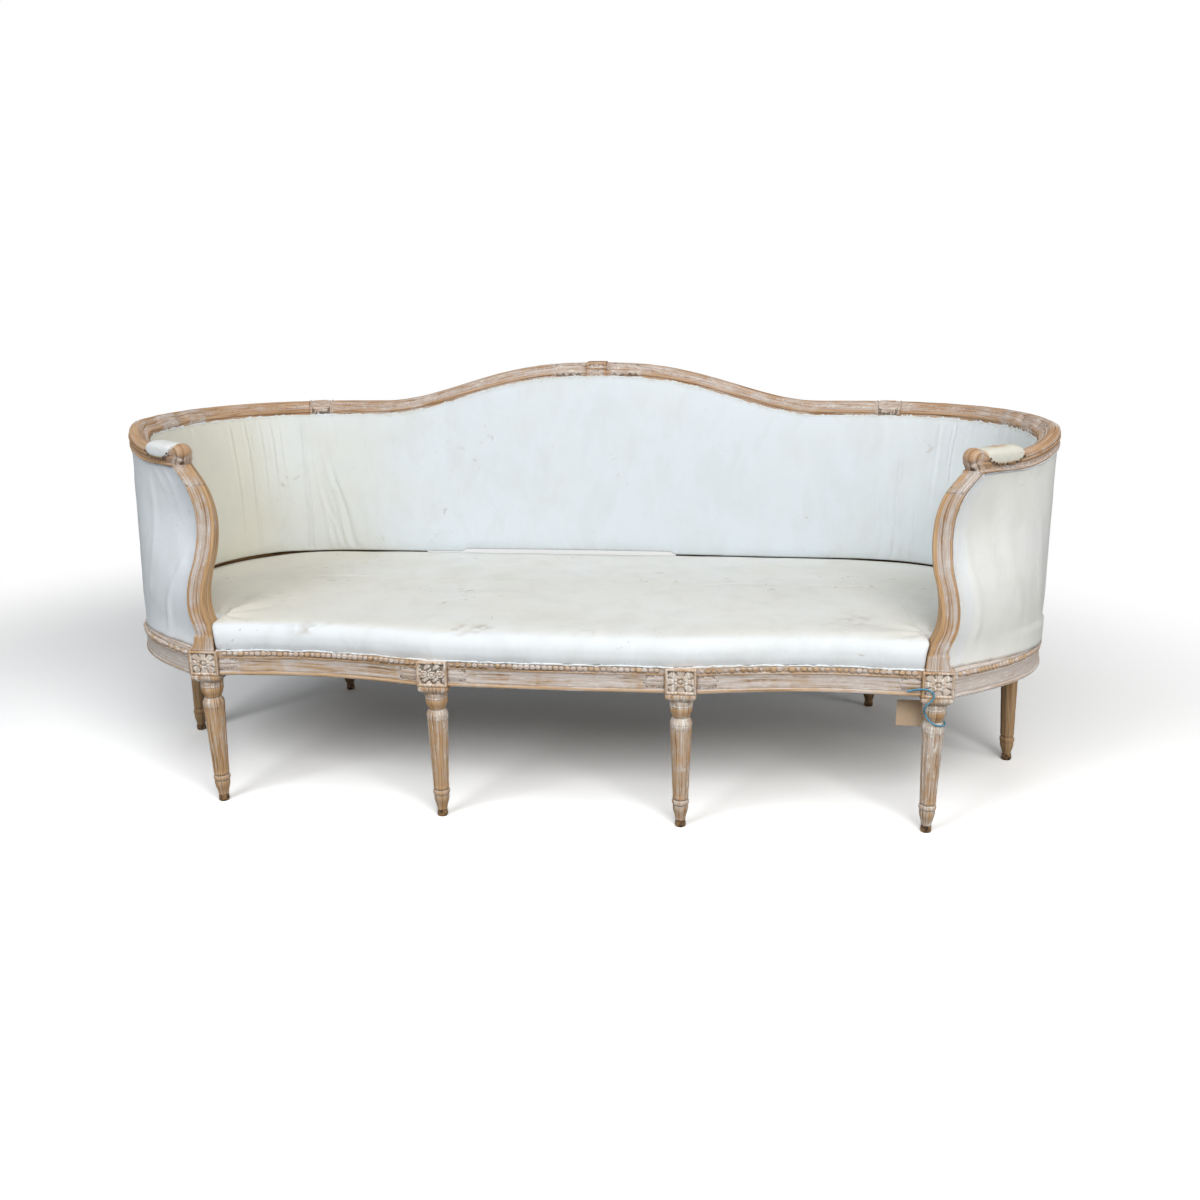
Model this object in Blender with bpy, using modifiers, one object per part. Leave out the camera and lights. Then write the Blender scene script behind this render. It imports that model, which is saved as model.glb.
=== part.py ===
"""Tub sofa with a carved frame and fixed upholstery, in metres, +Z up.

+X is to the viewer's right from the front, +Y is the back, and the origin is on the
floor under the middle of the overall box. The frame is planned on two half outlines, one at the seat rails
and one at the top rail. Stations run along both: 0 at the middle of the back, 1 at the back stile, 2 at the
side stile and 3 at the arm support. Everything between the rails is placed by station and height.
"""
import math
from collections import namedtuple

import bmesh
import bpy
from mathutils import Matrix, Vector

# Overall size
HALF_WIDTH = 1.065
DEPTH = 0.82
GAP = 0.0003

# Heights
RAIL_BOTTOM = 0.315
RAIL_HEIGHT = 0.056
RAIL_TOP = RAIL_BOTTOM + RAIL_HEIGHT
TOP_LEVEL = 0.842
TOP_RAIL_HEIGHT = 0.038
TOP_RAIL_DEPTH = 0.045
CREST_RISE = 0.098
CREST_HALF_LENGTH = 0.58
CREST_FULLNESS = 1.3
ARM_DROP = 0.042
DROP_START = 2.06
DROP_END = 2.72

# Seat rail outline, outer face
SEAT_SIDE_SETBACK = 0.005
SEAT_SIDE_X = HALF_WIDTH - SEAT_SIDE_SETBACK
SEAT_BACK_SETBACK = 0.045
SEAT_BACK_Y = DEPTH / 2 - SEAT_BACK_SETBACK
SIDE_Y = -0.06
CORNER_REACH = 0.445
CORNER_START_X = HALF_WIDTH - CORNER_REACH
BACK_BOW = 0.012
CORNER_POWER = 2.4
SEAT_SIDE_HANDLE = 0.15
SEAT_END_HANDLE = 0.15
SEAT_END_ANGLE = math.radians(32)

# Top rail outline, outer face
TOP_BACK_SETBACK = 0.025
TOP_BACK_Y = DEPTH / 2 - TOP_BACK_SETBACK
ARM_END_INSET = 0.2
ARM_END_X = HALF_WIDTH - ARM_END_INSET
ARM_END_Y = -0.272
ARM_SIDE_HANDLE = 0.10
ARM_END_HANDLE = 0.10
ARM_END_ANGLE = math.radians(37)

# Legs
BLOCK = 0.066
CORNER_LEG_INSET = 0.273
CORNER_LEG_X = HALF_WIDTH - CORNER_LEG_INSET
CORNER_LEG_SETBACK = 0.026
MIDDLE_LEG_X = 0.266
LEG_RADIUS = 0.0255
ABACUS_HEIGHT = 0.023
ABACUS_INSET = 0.0015
ABACUS_FILLET_SHARE = 0.6
REAR_BLOCK = 0.055
REAR_LEG_RADIUS = 0.022
SIDE_LEG_Y = 0.06
BACK_LEG_INSET = 0.327
BACK_LEG_X = HALF_WIDTH - BACK_LEG_INSET
SIDE_LEG_SPLAY = 0.014
GLIDE_RADIUS = 0.012
GLIDE_HEIGHT = 0.0165
GLIDE_EDGE = 0.004
TENON_SHARE = 0.3
TURNED_STEPS = 14
MERGE_DISTANCE = 0.00001
# radius as a share of LEG_RADIUS, height as a share of the run from glide to abacus
FRONT_LEG_SHARES = (
    (1.0, 1.0), (0.98, 0.986), (0.84, 0.98), (0.9, 0.96), (0.925, 0.92), (0.84, 0.884), (0.72, 0.862),
    (0.7, 0.853), (0.77, 0.844), (0.92, 0.838), (0.92, 0.807), (0.82, 0.793), (0.9, 0.785),
    (0.62, 0.179), (0.56, 0.172), (0.66, 0.162), (0.675, 0.13), (0.6, 0.12), (0.645, 0.1),
    (0.61, 0.063), (0.46, 0.019), (0.38, 0.0))
REAR_LEG_SHARES = (
    (0.95, 1.0), (0.95, 0.95), (0.8, 0.945), (0.95, 0.92), (0.97, 0.89), (0.78, 0.87), (0.95, 0.86),
    (0.72, 0.16), (0.66, 0.15), (0.77, 0.14), (0.77, 0.11), (0.7, 0.1), (0.68, 0.06), (0.48, 0.0))

# Seat rails
RAIL_THICKNESS = 0.042
RAIL_INSET = 0.006
RAIL_MOULD_DEPTH = 0.008
FRONT_HOLLOW = 0.022
FRONT_BOW = 0.004
BEAD_BAND = 0.012
# depth as a share of RAIL_MOULD_DEPTH, height as a share of RAIL_HEIGHT, bottom to top
RAIL_MOULD_SHARES = (
    (0.3, 0.0), (0.3, 0.13), (1.0, 0.17), (0.95, 0.24), (0.25, 0.32), (0.0, 0.45), (0.15, 0.6),
    (0.85, 0.7), (0.9, 0.78), (0.2, 0.82), (0.2, 1.0))
# depth as a share of TOP_RAIL_DEPTH, height as a share of TOP_RAIL_HEIGHT, round the section
TOP_SECTION_SHARES = (
    (0.05, 0.0), (0.0, 0.12), (0.0, 0.52), (0.06, 0.7), (0.15, 0.78), (0.22, 0.94), (0.38, 1.0),
    (0.55, 0.97), (0.66, 0.86), (0.75, 0.8), (0.88, 0.72), (1.0, 0.56), (1.0, 0.1), (0.95, 0.0))

# Joints of the top rail and the carved centre block
COLLAR_INSET = 0.279
COLLAR_X = HALF_WIDTH - COLLAR_INSET
ARM_JOINT_Y = 0.09
CREST_BLOCK_WIDTH = 0.05
CREST_BLOCK_STAND = 0.003

# Arm supports, from the corner block to the arm
SUPPORT_WIDTH = 0.046
SUPPORT_DEPTH = 0.046
SUPPORT_TURN_SHARE = 0.5
SUPPORT_FOOT_OUT = -0.0035
KNUCKLE_RADIUS = 0.025
KNUCKLE_STAND = 0.0015
KNUCKLE_STEPS = 20
# where the tub's skin ends inside the support, outward and forward of its centre
SHELL_END_SHARES = (0.35, 0.25)
# height, outward and backward travel and turn, each as a share of foot to head
SUPPORT_SWEEP_SHARES = (
    (0.0, 0.0, 0.0, 0.0), (0.1, 0.05, 0.09, 0.0), (0.2, 0.279, 0.2, 0.05), (0.3, 0.337, 0.28, 0.12),
    (0.4, 0.271, 0.36, 0.2), (0.5, 0.155, 0.48, 0.32), (0.6, 0.122, 0.62, 0.45), (0.7, 0.147, 0.72, 0.58),
    (0.8, 0.238, 0.76, 0.72), (0.9, 0.47, 0.82, 0.88), (1.0, 0.95, 1.0, 1.0))
# across as a share of SUPPORT_WIDTH, along as a share of SUPPORT_DEPTH, front face first
SUPPORT_SECTION_SHARES = (
    (-0.5, -0.36), (-0.4, -0.5), (-0.16, -0.5), (0.0, -0.41), (0.16, -0.5), (0.4, -0.5), (0.5, -0.36),
    (0.5, 0.5), (-0.5, 0.5))

# Stiles, stay rails and braces
COVER_INSET = 0.004
COVER_THICKNESS = 0.0025
STILE_INSET = 0.0085
STILE_THICKNESS = 0.0275
STILE_WIDTH = 0.045
STAY_BOTTOM = 0.412
STAY_TOP = 0.49
STAY_SHRINK = 0.002
SIGHT_GAP_TOP = 0.455
SIGHT_GAP_LEFT = -0.48
SIGHT_GAP_RIGHT = 0.21
BRACE_WIDTH = 0.04
BRACE_HEIGHT = 0.045

# Upholstery
CLOTH_CLEARANCE = 0.0006
LINING_SEAM = 0.001
LINING_TOP_DEPTH = 0.014
LINING_DEPTH = 0.042
LINING_END_DEPTH = 0.014
# from the top of the inside cover down: depth as a share of the way from its top depth to its foot depth,
# height as a share of the cover's
LINING_FACE_SHARES = ((0.0, 1.0), (0.45, 0.85), (0.78, 0.6), (0.95, 0.35), (1.0, 0.14))
# under the fullest line: depth as a share of the foot depth, height as before
LINING_FOOT_SHARES = ((0.94, 0.04), (0.7, 0.0))
LINING_BACK_SHARES = (0.0, 0.33, 0.66, 1.0)
FRAME_END_INSET = 0.02
TAPER_START = 2.45
WEBBING_THICKNESS = 0.003
WEBBING_FRONT_INSET = 0.02
WEBBING_STRAP = 0.08
WEBBING_ROWS = 4
WEBBING_COLUMNS = 9
SEAT_EDGE_INSET = 0.047
SEAT_TOP = 0.438
SEAT_CROWN = 0.009
# height as a share of the edge's, inward travel as a share of the way to the seat's long middle line
SEAT_EDGE_SHARES = ((0.0, 0.0), (0.3, -0.004), (0.62, -0.003), (0.88, 0.02), (1.0, 0.07))
SEAT_CROWN_SHARES = (0.3, 0.6, 0.93)
SEAT_SIDE_CLEARANCE = 0.003
PAD_HEIGHT = 0.024
PAD_WIDTH = 0.036
PAD_START = 2.57
PAD_END = 2.93
PAD_TIP_SHARE = 0.25
# height from the pad's foot as a share of PAD_HEIGHT, half width as a share of half PAD_WIDTH
PAD_SECTION_SHARES = ((0.0, 0.9), (0.22, 1.0), (0.55, 0.92), (0.85, 0.6), (1.0, 0.0))

# Paper tag and its string, on the front leg at the viewer's right
TAG_WIDTH = 0.066
TAG_HEIGHT = 0.058
TAG_THICKNESS = 0.0008
TAG_HOLE_RADIUS = 0.0026
TAG_HOLE_INSET = 0.012
STRING_DIAMETER = 0.004
STRING_STEPS_PER_POINT = 2
# from the loose end over the corner block, round the leg's neck and into the tag's hole,
# each point measured from the leg's axis at the floor
STRING_ROUTE = (
    (-0.0620, -0.0285, 0.3275), (-0.0500, -0.0285, 0.3315), (-0.0390, -0.0348, 0.3355),
    (-0.0285, -0.0362, 0.3365), (-0.0185, -0.0358, 0.3340), (-0.0105, -0.0358, 0.3275),
    (-0.0080, -0.0358, 0.3190), (-0.0130, -0.0356, 0.3105), (-0.0210, -0.0346, 0.3020),
    (-0.0250, -0.0305, 0.2925), (-0.0240, -0.0235, 0.2835), (-0.0205, -0.0170, 0.2740),
    (-0.0140, -0.0220, 0.2640), (-0.0040, -0.0255, 0.2570), (0.0080, -0.0235, 0.2525),
    (0.0185, -0.0155, 0.2505), (0.0230, -0.0030, 0.2505), (0.0195, 0.0100, 0.2515),
    (0.0100, 0.0190, 0.2525), (-0.0010, 0.0210, 0.2540), (-0.0105, 0.0220, 0.2560),
    (-0.0165, 0.0245, 0.2580), (-0.0190, 0.0295, 0.2590))

# How finely the curves are divided
CREST_STEPS = 12
CORNER_STEPS = 8
ARM_STEPS = 11
SHELL_ROWS = 6
SEAT_SIDE_STEPS = 6
SEAT_FRONT_STEPS = 8
PAD_STEPS = 10
SEAT_END_STATION = 2.9
BLEND_START = 2.3
STATION_STEP = 0.001
END_CLEAR = 0.008

HANDS = (("left", -1), ("right", 1))
LAST_STATION = 3

Plan = namedtuple("Plan", "side_x back_y end end_angle side_handle end_handle")
Colour = namedtuple("Colour", "rgb roughness metallic")

PAPER = Colour((0.73, 0.55, 0.38), 0.8, 0.0)
BLUE_COTTON = Colour((0.16, 0.36, 0.48), 0.9, 0.0)
WOOD_LIMED = Colour((0.55, 0.42, 0.31), 0.7, 0.0)
WOOD_PALE = Colour((0.52, 0.44, 0.38), 0.75, 0.0)
WOOD_RAW = Colour((0.42, 0.29, 0.17), 0.8, 0.0)
CALICO = Colour((0.72, 0.74, 0.72), 0.95, 0.0)
CALICO_WORN = Colour((0.64, 0.63, 0.58), 0.95, 0.0)
JUTE = Colour((0.40, 0.31, 0.19), 0.95, 0.0)
IRON = Colour((0.09, 0.06, 0.04), 0.5, 0.6)


def clear_scene():
    for obj in list(bpy.data.objects):
        bpy.data.objects.remove(obj, do_unlink=True)


def new_collection(name):
    collection = bpy.data.collections.new(name)
    bpy.context.scene.collection.children.link(collection)
    return collection


def new_material(name, colour):
    material = bpy.data.materials.new(name)
    material.use_nodes = True
    shader = material.node_tree.nodes["Principled BSDF"]
    shader.inputs["Base Color"].default_value = (*colour.rgb, 1)
    shader.inputs["Roughness"].default_value = colour.roughness
    shader.inputs["Metallic"].default_value = colour.metallic
    return material


def add_part(name, mesh, colour, location=(0, 0, 0), turn=0.0):
    """Link a mesh as a named part under the sofa's empty, with a material of its own."""
    obj = bpy.data.objects.new(name, mesh)
    parts.objects.link(obj)
    obj.location = location
    obj.rotation_euler.z = turn
    obj.parent = sofa
    if not mesh.materials:
        mesh.materials.append(new_material(name + "_finish", colour))
    return obj


def add_cutter(name, mesh):
    obj = bpy.data.objects.new(name, mesh)
    cutters.objects.link(obj)
    obj.hide_render = True
    obj.display_type = "WIRE"
    return obj


def add_boolean(obj, cutter, operation):
    modifier = obj.modifiers.new(operation.lower(), "BOOLEAN")
    modifier.operation = operation
    modifier.object = cutter
    modifier.solver = "EXACT"


def evaluated_mesh(obj, name):
    graph = bpy.context.evaluated_depsgraph_get()
    mesh = bpy.data.meshes.new_from_object(obj.evaluated_get(graph))
    mesh.name = name
    return mesh


def mesh_from(name, bm):
    bmesh.ops.recalc_face_normals(bm, faces=bm.faces)
    mesh = bpy.data.meshes.new(name)
    bm.to_mesh(mesh)
    bm.free()
    return mesh


def loft_mesh(name, rings):
    """A closed solid through rings of equal point count, with a flat cap at each end.

    The sides are triangles with a set diagonal, so that a twisted solid and its trim have the same skin.
    """
    bm = bmesh.new()
    loops = [[bm.verts.new(point) for point in ring] for ring in rings]
    for near, far in zip(loops, loops[1:]):
        for i in range(len(near)):
            j = (i + 1) % len(near)
            bm.faces.new((near[i], near[j], far[j]))
            bm.faces.new((near[i], far[j], far[i]))
    bm.faces.new(reversed(loops[0]))
    bm.faces.new(loops[-1])
    return mesh_from(name, bm)


def loft_part(name, rings, side, colour):
    """Loft a part for one side of the sofa, with its origin at the middle of its first ring."""
    rings = [[Vector((side * p[0], p[1], p[2])) for p in ring] for ring in rings]
    origin = sum(rings[0], Vector()) / len(rings[0])
    mesh = loft_mesh(name, [[p - origin for p in ring] for ring in rings])
    return add_part(name, mesh, colour, origin)


def lerp(a, b, share):
    return a + (b - a) * share


def smooth(share):
    share = min(max(share, 0.0), 1.0)
    return share * share * (3 - 2 * share)


def table_value(table, key, column):
    """Straight interpolation of one column of a table that is ordered by its first column."""
    for low, high in zip(table, table[1:]):
        if key <= high[0]:
            return lerp(low[column], high[column], (key - low[0]) / (high[0] - low[0]))
    return table[-1][column]


def heading(angle):
    """Direction of travel at the front end of an outline: inward and forward."""
    return Vector((-math.cos(angle), -math.sin(angle)))


CORNER_LEG_Y = -DEPTH / 2 + CORNER_LEG_SETBACK + BLOCK / 2
MIDDLE_LEG_Y = -DEPTH / 2 + BLOCK / 2
SEAT_END = Vector((CORNER_LEG_X + BLOCK / 2, CORNER_LEG_Y - BLOCK / 2 + RAIL_INSET))
ARM_END = Vector((ARM_END_X, ARM_END_Y))
SEAT_PLAN = Plan(SEAT_SIDE_X, SEAT_BACK_Y, SEAT_END, SEAT_END_ANGLE, SEAT_SIDE_HANDLE, SEAT_END_HANDLE)
TOP_PLAN = Plan(HALF_WIDTH, TOP_BACK_Y, ARM_END, ARM_END_ANGLE, ARM_SIDE_HANDLE, ARM_END_HANDLE)


def plan_point(plan, u):
    """Outline of one half: u runs 0..1 on the back, 1..2 round the rear corner, 2..3 along the side.

    The back is a shallow cosine bow, the corner a quarter superellipse and the side a cubic curve.
    """
    if u <= 1:
        return Vector((CORNER_START_X * u, plan.back_y + BACK_BOW * math.cos(math.pi / 2 * u) ** 2))
    if u <= 2:
        angle = (u - 1) * math.pi / 2
        across = math.sin(angle) ** (2 / CORNER_POWER)
        along = max(math.cos(angle), 0.0) ** (2 / CORNER_POWER)
        return Vector((lerp(CORNER_START_X, plan.side_x, across), lerp(SIDE_Y, plan.back_y, along)))
    t = u - 2
    start = Vector((plan.side_x, SIDE_Y))
    points = (start, start - Vector((0, plan.side_handle)),
              plan.end - heading(plan.end_angle) * plan.end_handle, plan.end)
    weights = ((1 - t) ** 3, 3 * t * (1 - t) ** 2, 3 * t * t * (1 - t), t ** 3)
    return sum((p * w for p, w in zip(points, weights)), Vector((0, 0)))


def corner_u(plan, x=None, y=None):
    """The outline parameter in the rear corner at a given x or y."""
    if x is not None:
        share = (x - CORNER_START_X) / (plan.side_x - CORNER_START_X)
        return 1 + math.asin(share ** (CORNER_POWER / 2)) / (math.pi / 2)
    share = (y - SIDE_Y) / (plan.back_y - SIDE_Y)
    return 1 + math.acos(share ** (CORNER_POWER / 2)) / (math.pi / 2)


SEAT_STATIONS = (0.0, corner_u(SEAT_PLAN, x=BACK_LEG_X), corner_u(SEAT_PLAN, y=SIDE_LEG_Y), LAST_STATION)
TOP_STATIONS = (0.0, corner_u(TOP_PLAN, x=COLLAR_X), corner_u(TOP_PLAN, y=ARM_JOINT_Y), LAST_STATION)


def station_u(stations, station):
    index = min(int(station), 2)
    return lerp(stations[index], stations[index + 1], station - index)


def seat_point(station):
    return plan_point(SEAT_PLAN, station_u(SEAT_STATIONS, station))


def top_point(station):
    return plan_point(TOP_PLAN, station_u(TOP_STATIONS, station))


def frame_at(curve, station):
    """Point, direction of travel and inward normal of a plan curve at a station."""
    before = curve(max(station - STATION_STEP, 0))
    after = curve(min(station + STATION_STEP, LAST_STATION))
    travel = (after - before).normalized()
    return curve(station), travel, Vector((travel.y, -travel.x))


def top_height(station):
    """Height of the top rail: the crest's hump, the level run and the drop to the knuckle."""
    if station <= 1:
        share = min(top_point(station).x / CREST_HALF_LENGTH, 1.0) ** CREST_FULLNESS
        return TOP_LEVEL + CREST_RISE * (1 + math.cos(math.pi * share)) / 2
    return TOP_LEVEL - ARM_DROP * smooth((station - DROP_START) / (DROP_END - DROP_START))


UNDER_ARM = TOP_LEVEL - ARM_DROP - TOP_RAIL_HEIGHT
SUPPORT_FOOT_Y = CORNER_LEG_Y - BLOCK / 2 + SUPPORT_DEPTH / 2 + RAIL_INSET
SUPPORT_FOOT = Vector((CORNER_LEG_X + SUPPORT_FOOT_OUT, SUPPORT_FOOT_Y))
ARM_HEADING = heading(ARM_END_ANGLE)
ARM_INWARD = Vector((ARM_HEADING.y, -ARM_HEADING.x))
SUPPORT_HEAD = ARM_END + ARM_INWARD * TOP_RAIL_DEPTH / 2 - ARM_HEADING * KNUCKLE_RADIUS / 2
SUPPORT_TURN = (ARM_END_ANGLE - math.pi / 2) * SUPPORT_TURN_SHARE


def support_frame(share):
    """Centre of the arm support at a share of its height, and the directions of its side and back."""
    out = table_value(SUPPORT_SWEEP_SHARES, share, 1)
    back = table_value(SUPPORT_SWEEP_SHARES, share, 2)
    turn = SUPPORT_TURN * table_value(SUPPORT_SWEEP_SHARES, share, 3)
    centre = Vector((lerp(SUPPORT_FOOT.x, SUPPORT_HEAD.x, out), lerp(SUPPORT_FOOT.y, SUPPORT_HEAD.y, back)))
    return centre, Vector((math.cos(turn), math.sin(turn))), Vector((-math.sin(turn), math.cos(turn)))


def shell_point(station, share):
    """The tub's outer skin between the seat rails (share 0) and the top rail (share 1).

    It is ruled between the two outlines, and near the front it bends over to end inside the support.
    """
    point = lerp(seat_point(station), top_point(station), share)
    weight = smooth((station - BLEND_START) / (3 - BLEND_START))
    if weight > 0:
        centre, across, back = support_frame(share)
        outward, forward = SHELL_END_SHARES
        end = centre + across * SUPPORT_WIDTH * outward - back * SUPPORT_DEPTH * forward
        point = point + (end - lerp(seat_point(3), top_point(3), share)) * weight
    return point


def shell_frame(station, share):
    return frame_at(lambda s: shell_point(s, share), station)


def shell_share(z, station):
    return (z - RAIL_TOP) / (top_height(station) - TOP_RAIL_HEIGHT - RAIL_TOP)


def spread(start, end, count):
    return [lerp(start, end, i / count) for i in range(count + 1)]


def ring_at(point, inward, section):
    """A section's (depth, height) points set upright on a plan point, with depth measured inward."""
    return [Vector((point.x + inward.x * d, point.y + inward.y * d, z)) for d, z in section]


def rail_section():
    outer = [(RAIL_MOULD_DEPTH * d, RAIL_BOTTOM + RAIL_HEIGHT * h) for d, h in RAIL_MOULD_SHARES]
    return outer + [(RAIL_THICKNESS, RAIL_TOP), (RAIL_THICKNESS, RAIL_BOTTOM)]


def top_section(height):
    base = height - TOP_RAIL_HEIGHT
    return [(TOP_RAIL_DEPTH * d, base + TOP_RAIL_HEIGHT * h) for d, h in TOP_SECTION_SHARES]


def turned_mesh(name, radius, shares, abacus, splay):
    """Turned leg below its block: a profile with a Screw modifier, sheared so that its foot splays."""
    low = GLIDE_HEIGHT + GAP
    high = RAIL_BOTTOM - abacus
    tenon_top = high + ABACUS_HEIGHT * TENON_SHARE
    points = [(0.0, tenon_top), (radius * shares[0][0], tenon_top)]
    points += [(radius * r, lerp(low, high, h)) for r, h in shares]
    points.append((0.0, low))
    bm = bmesh.new()
    verts = [bm.verts.new((x, 0, z)) for x, z in points]
    for a, b in zip(verts, verts[1:]):
        bm.edges.new((a, b))
    mesh = bpy.data.meshes.new(name)
    bm.to_mesh(mesh)
    bm.free()
    profile = add_cutter(name, mesh)
    screw = profile.modifiers.new("turn", "SCREW")
    screw.steps = screw.render_steps = TURNED_STEPS
    screw.use_merge_vertices = True
    screw.merge_threshold = MERGE_DISTANCE
    turned = evaluated_mesh(profile, name + "_turned")
    bpy.data.objects.remove(profile, do_unlink=True)
    shear = Matrix.Identity(4)
    shear[1][2] = splay / RAIL_BOTTOM
    shear[1][3] = -splay
    turned.transform(shear)
    return turned


def leg_mesh(name, block, radius, shares, splay, abacus):
    """A leg in one piece: square block, square stepped abacus and turned taper, joined by a union."""
    half = block / 2
    inset = half - ABACUS_INSET
    steps = [(half, RAIL_TOP), (half, RAIL_BOTTOM), (inset, RAIL_BOTTOM - GAP)]
    if abacus:
        steps += [(inset, RAIL_BOTTOM - abacus * ABACUS_FILLET_SHARE), (radius, RAIL_BOTTOM - abacus)]
    else:
        steps = steps[:2]
    rings = [[Vector((x * r, y * r, z)) for x, y in ((-1, -1), (1, -1), (1, 1), (-1, 1))] for r, z in steps]
    body = add_cutter(name + "_block", loft_mesh(name + "_block", rings))
    turned = add_cutter(name + "_turned", turned_mesh(name, radius, shares, abacus, splay))
    add_boolean(body, turned, "UNION")
    mesh = evaluated_mesh(body, name)
    bpy.data.objects.remove(body, do_unlink=True)
    bpy.data.objects.remove(turned, do_unlink=True)
    return mesh


def rear_leg_place(station):
    """Block centre and turn of a leg that stands under the seat rail at a station."""
    point, travel, inward = frame_at(seat_point, station)
    centre = point + inward * (REAR_BLOCK / 2 - RAIL_INSET)
    return centre, math.atan2(inward.x, -inward.y)


def build_legs():
    front = leg_mesh("front_leg", BLOCK, LEG_RADIUS, FRONT_LEG_SHARES, 0.0, ABACUS_HEIGHT)
    for place, x, y in (("corner", CORNER_LEG_X, CORNER_LEG_Y), ("middle", MIDDLE_LEG_X, MIDDLE_LEG_Y)):
        for hand, side in HANDS:
            add_part(f"leg_{place}_{hand}", front, WOOD_LIMED, (side * x, y, 0))
            build_glide(f"glide_{place}_{hand}", side * x, y)
    back_centre, turn = rear_leg_place(1)
    back_splay = (DEPTH / 2 - GLIDE_RADIUS - back_centre.y) / math.cos(turn)
    for place, station, splay in (("back", 1, back_splay), ("side", 2, SIDE_LEG_SPLAY)):
        mesh = leg_mesh(f"{place}_leg", REAR_BLOCK, REAR_LEG_RADIUS, REAR_LEG_SHARES, splay, 0.0)
        centre, turn = rear_leg_place(station)
        outward = Vector((-math.sin(turn), math.cos(turn)))
        foot = centre + outward * splay
        for hand, side in HANDS:
            angle = math.pi + side * turn
            add_part(f"leg_{place}_{hand}", mesh, WOOD_RAW, (side * centre.x, centre.y, 0), angle)
            build_glide(f"glide_{place}_{hand}", side * foot.x, foot.y)


def build_glide(name, x, y):
    bm = bmesh.new()
    bmesh.ops.create_cone(bm, cap_ends=True, segments=TURNED_STEPS, radius1=GLIDE_RADIUS,
                          radius2=GLIDE_RADIUS, depth=GLIDE_HEIGHT)
    bmesh.ops.translate(bm, verts=bm.verts, vec=(0, 0, GLIDE_HEIGHT / 2))
    obj = add_part(name, mesh_from(name, bm), IRON, (x, y, 0))
    bevel = obj.modifiers.new("edge", "BEVEL")
    bevel.width = GLIDE_EDGE
    bevel.segments = 2


def front_face(x0, y0, x1, y1, swell, share):
    """Plan point on a front rail's face between two blocks, hollow or bowed by a half sine."""
    return Vector((lerp(x0, x1, share), lerp(y0, y1, share) + RAIL_INSET + swell * math.sin(math.pi * share)))


def front_rail_rings(x0, y0, x1, y1, swell):
    section = rail_section()
    inward = Vector((0, 1))
    points = [front_face(x0, y0, x1, y1, swell, share) for share in spread(0, 1, CREST_STEPS // 2)]
    return [ring_at(point, inward, section) for point in points]


def seat_frame(station, z):
    return frame_at(seat_point, station)


def top_frame(station, z):
    return frame_at(top_point, station)


def skin_frame(station, z):
    return shell_frame(station, shell_share(z, station))


def run_ring(frame_of, station, section, shift=0):
    """A (depth, height) section on a run at a station, moved along it, with depth measured inward."""
    ring = []
    for depth, z in section:
        point, travel, inward = frame_of(station, z)
        p = point + travel * shift + inward * depth
        ring.append(Vector((p.x, p.y, z)))
    return ring


def run_rings(frame_of, start, end, steps, section_of, start_trim, end_trim):
    """Sections along a run between two stations, with square ends trimmed back by the lengths given."""
    z = section_of(start)[0][1]
    first, first_travel, first_inward = frame_of(start, z)
    last, last_travel, last_inward = frame_of(end, z)
    rings = [run_ring(frame_of, start, section_of(start), start_trim)]
    for station in spread(start, end, steps)[1:-1]:
        point = frame_of(station, z)[0]
        past_start = (point - first).dot(first_travel) > start_trim + END_CLEAR
        before_end = (last - point).dot(last_travel) > end_trim + END_CLEAR
        if past_start and before_end:
            rings.append(run_ring(frame_of, station, section_of(station)))
    rings.append(run_ring(frame_of, end, section_of(end), -end_trim))
    return rings


def mirrored_rings(rings):
    """Rings from the middle outward, joined to their mirror image into one run across the middle."""
    other = [[Vector((-p.x, p.y, p.z)) for p in ring] for ring in reversed(rings[1:])]
    return other + rings


def build_seat_rails():
    middle_face = MIDDLE_LEG_Y - BLOCK / 2
    corner_face = CORNER_LEG_Y - BLOCK / 2
    reach = MIDDLE_LEG_X - BLOCK / 2 - GAP
    rings = front_rail_rings(-reach, middle_face, reach, middle_face, -FRONT_BOW)
    loft_part("rail_front_middle", rings, 1, WOOD_PALE)
    section = rail_section()
    leg_trim = REAR_BLOCK / 2 + GAP
    for hand, side in HANDS:
        rings = front_rail_rings(MIDDLE_LEG_X + BLOCK / 2 + GAP, middle_face,
                                 CORNER_LEG_X - BLOCK / 2 - GAP, corner_face, FRONT_HOLLOW)
        loft_part(f"rail_front_{hand}", rings, side, WOOD_PALE)
        rings = run_rings(seat_frame, 1, 2, CORNER_STEPS, lambda s: section, leg_trim, leg_trim)
        loft_part(f"rail_rear_corner_{hand}", rings, side, WOOD_PALE)
        rings = run_rings(seat_frame, 2, 3, ARM_STEPS, lambda s: section, leg_trim, 0)[:-1]
        end = SEAT_END + Vector((GAP, 0))
        rings.append(ring_at(end, Vector((0, 1)), section))
        loft_part(f"rail_side_{hand}", rings, side, WOOD_PALE)
    rings = run_rings(seat_frame, 0, 1, CREST_STEPS // 2, lambda s: section, 0, leg_trim)
    loft_part("rail_back", mirrored_rings(rings), 1, WOOD_RAW)


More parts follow.
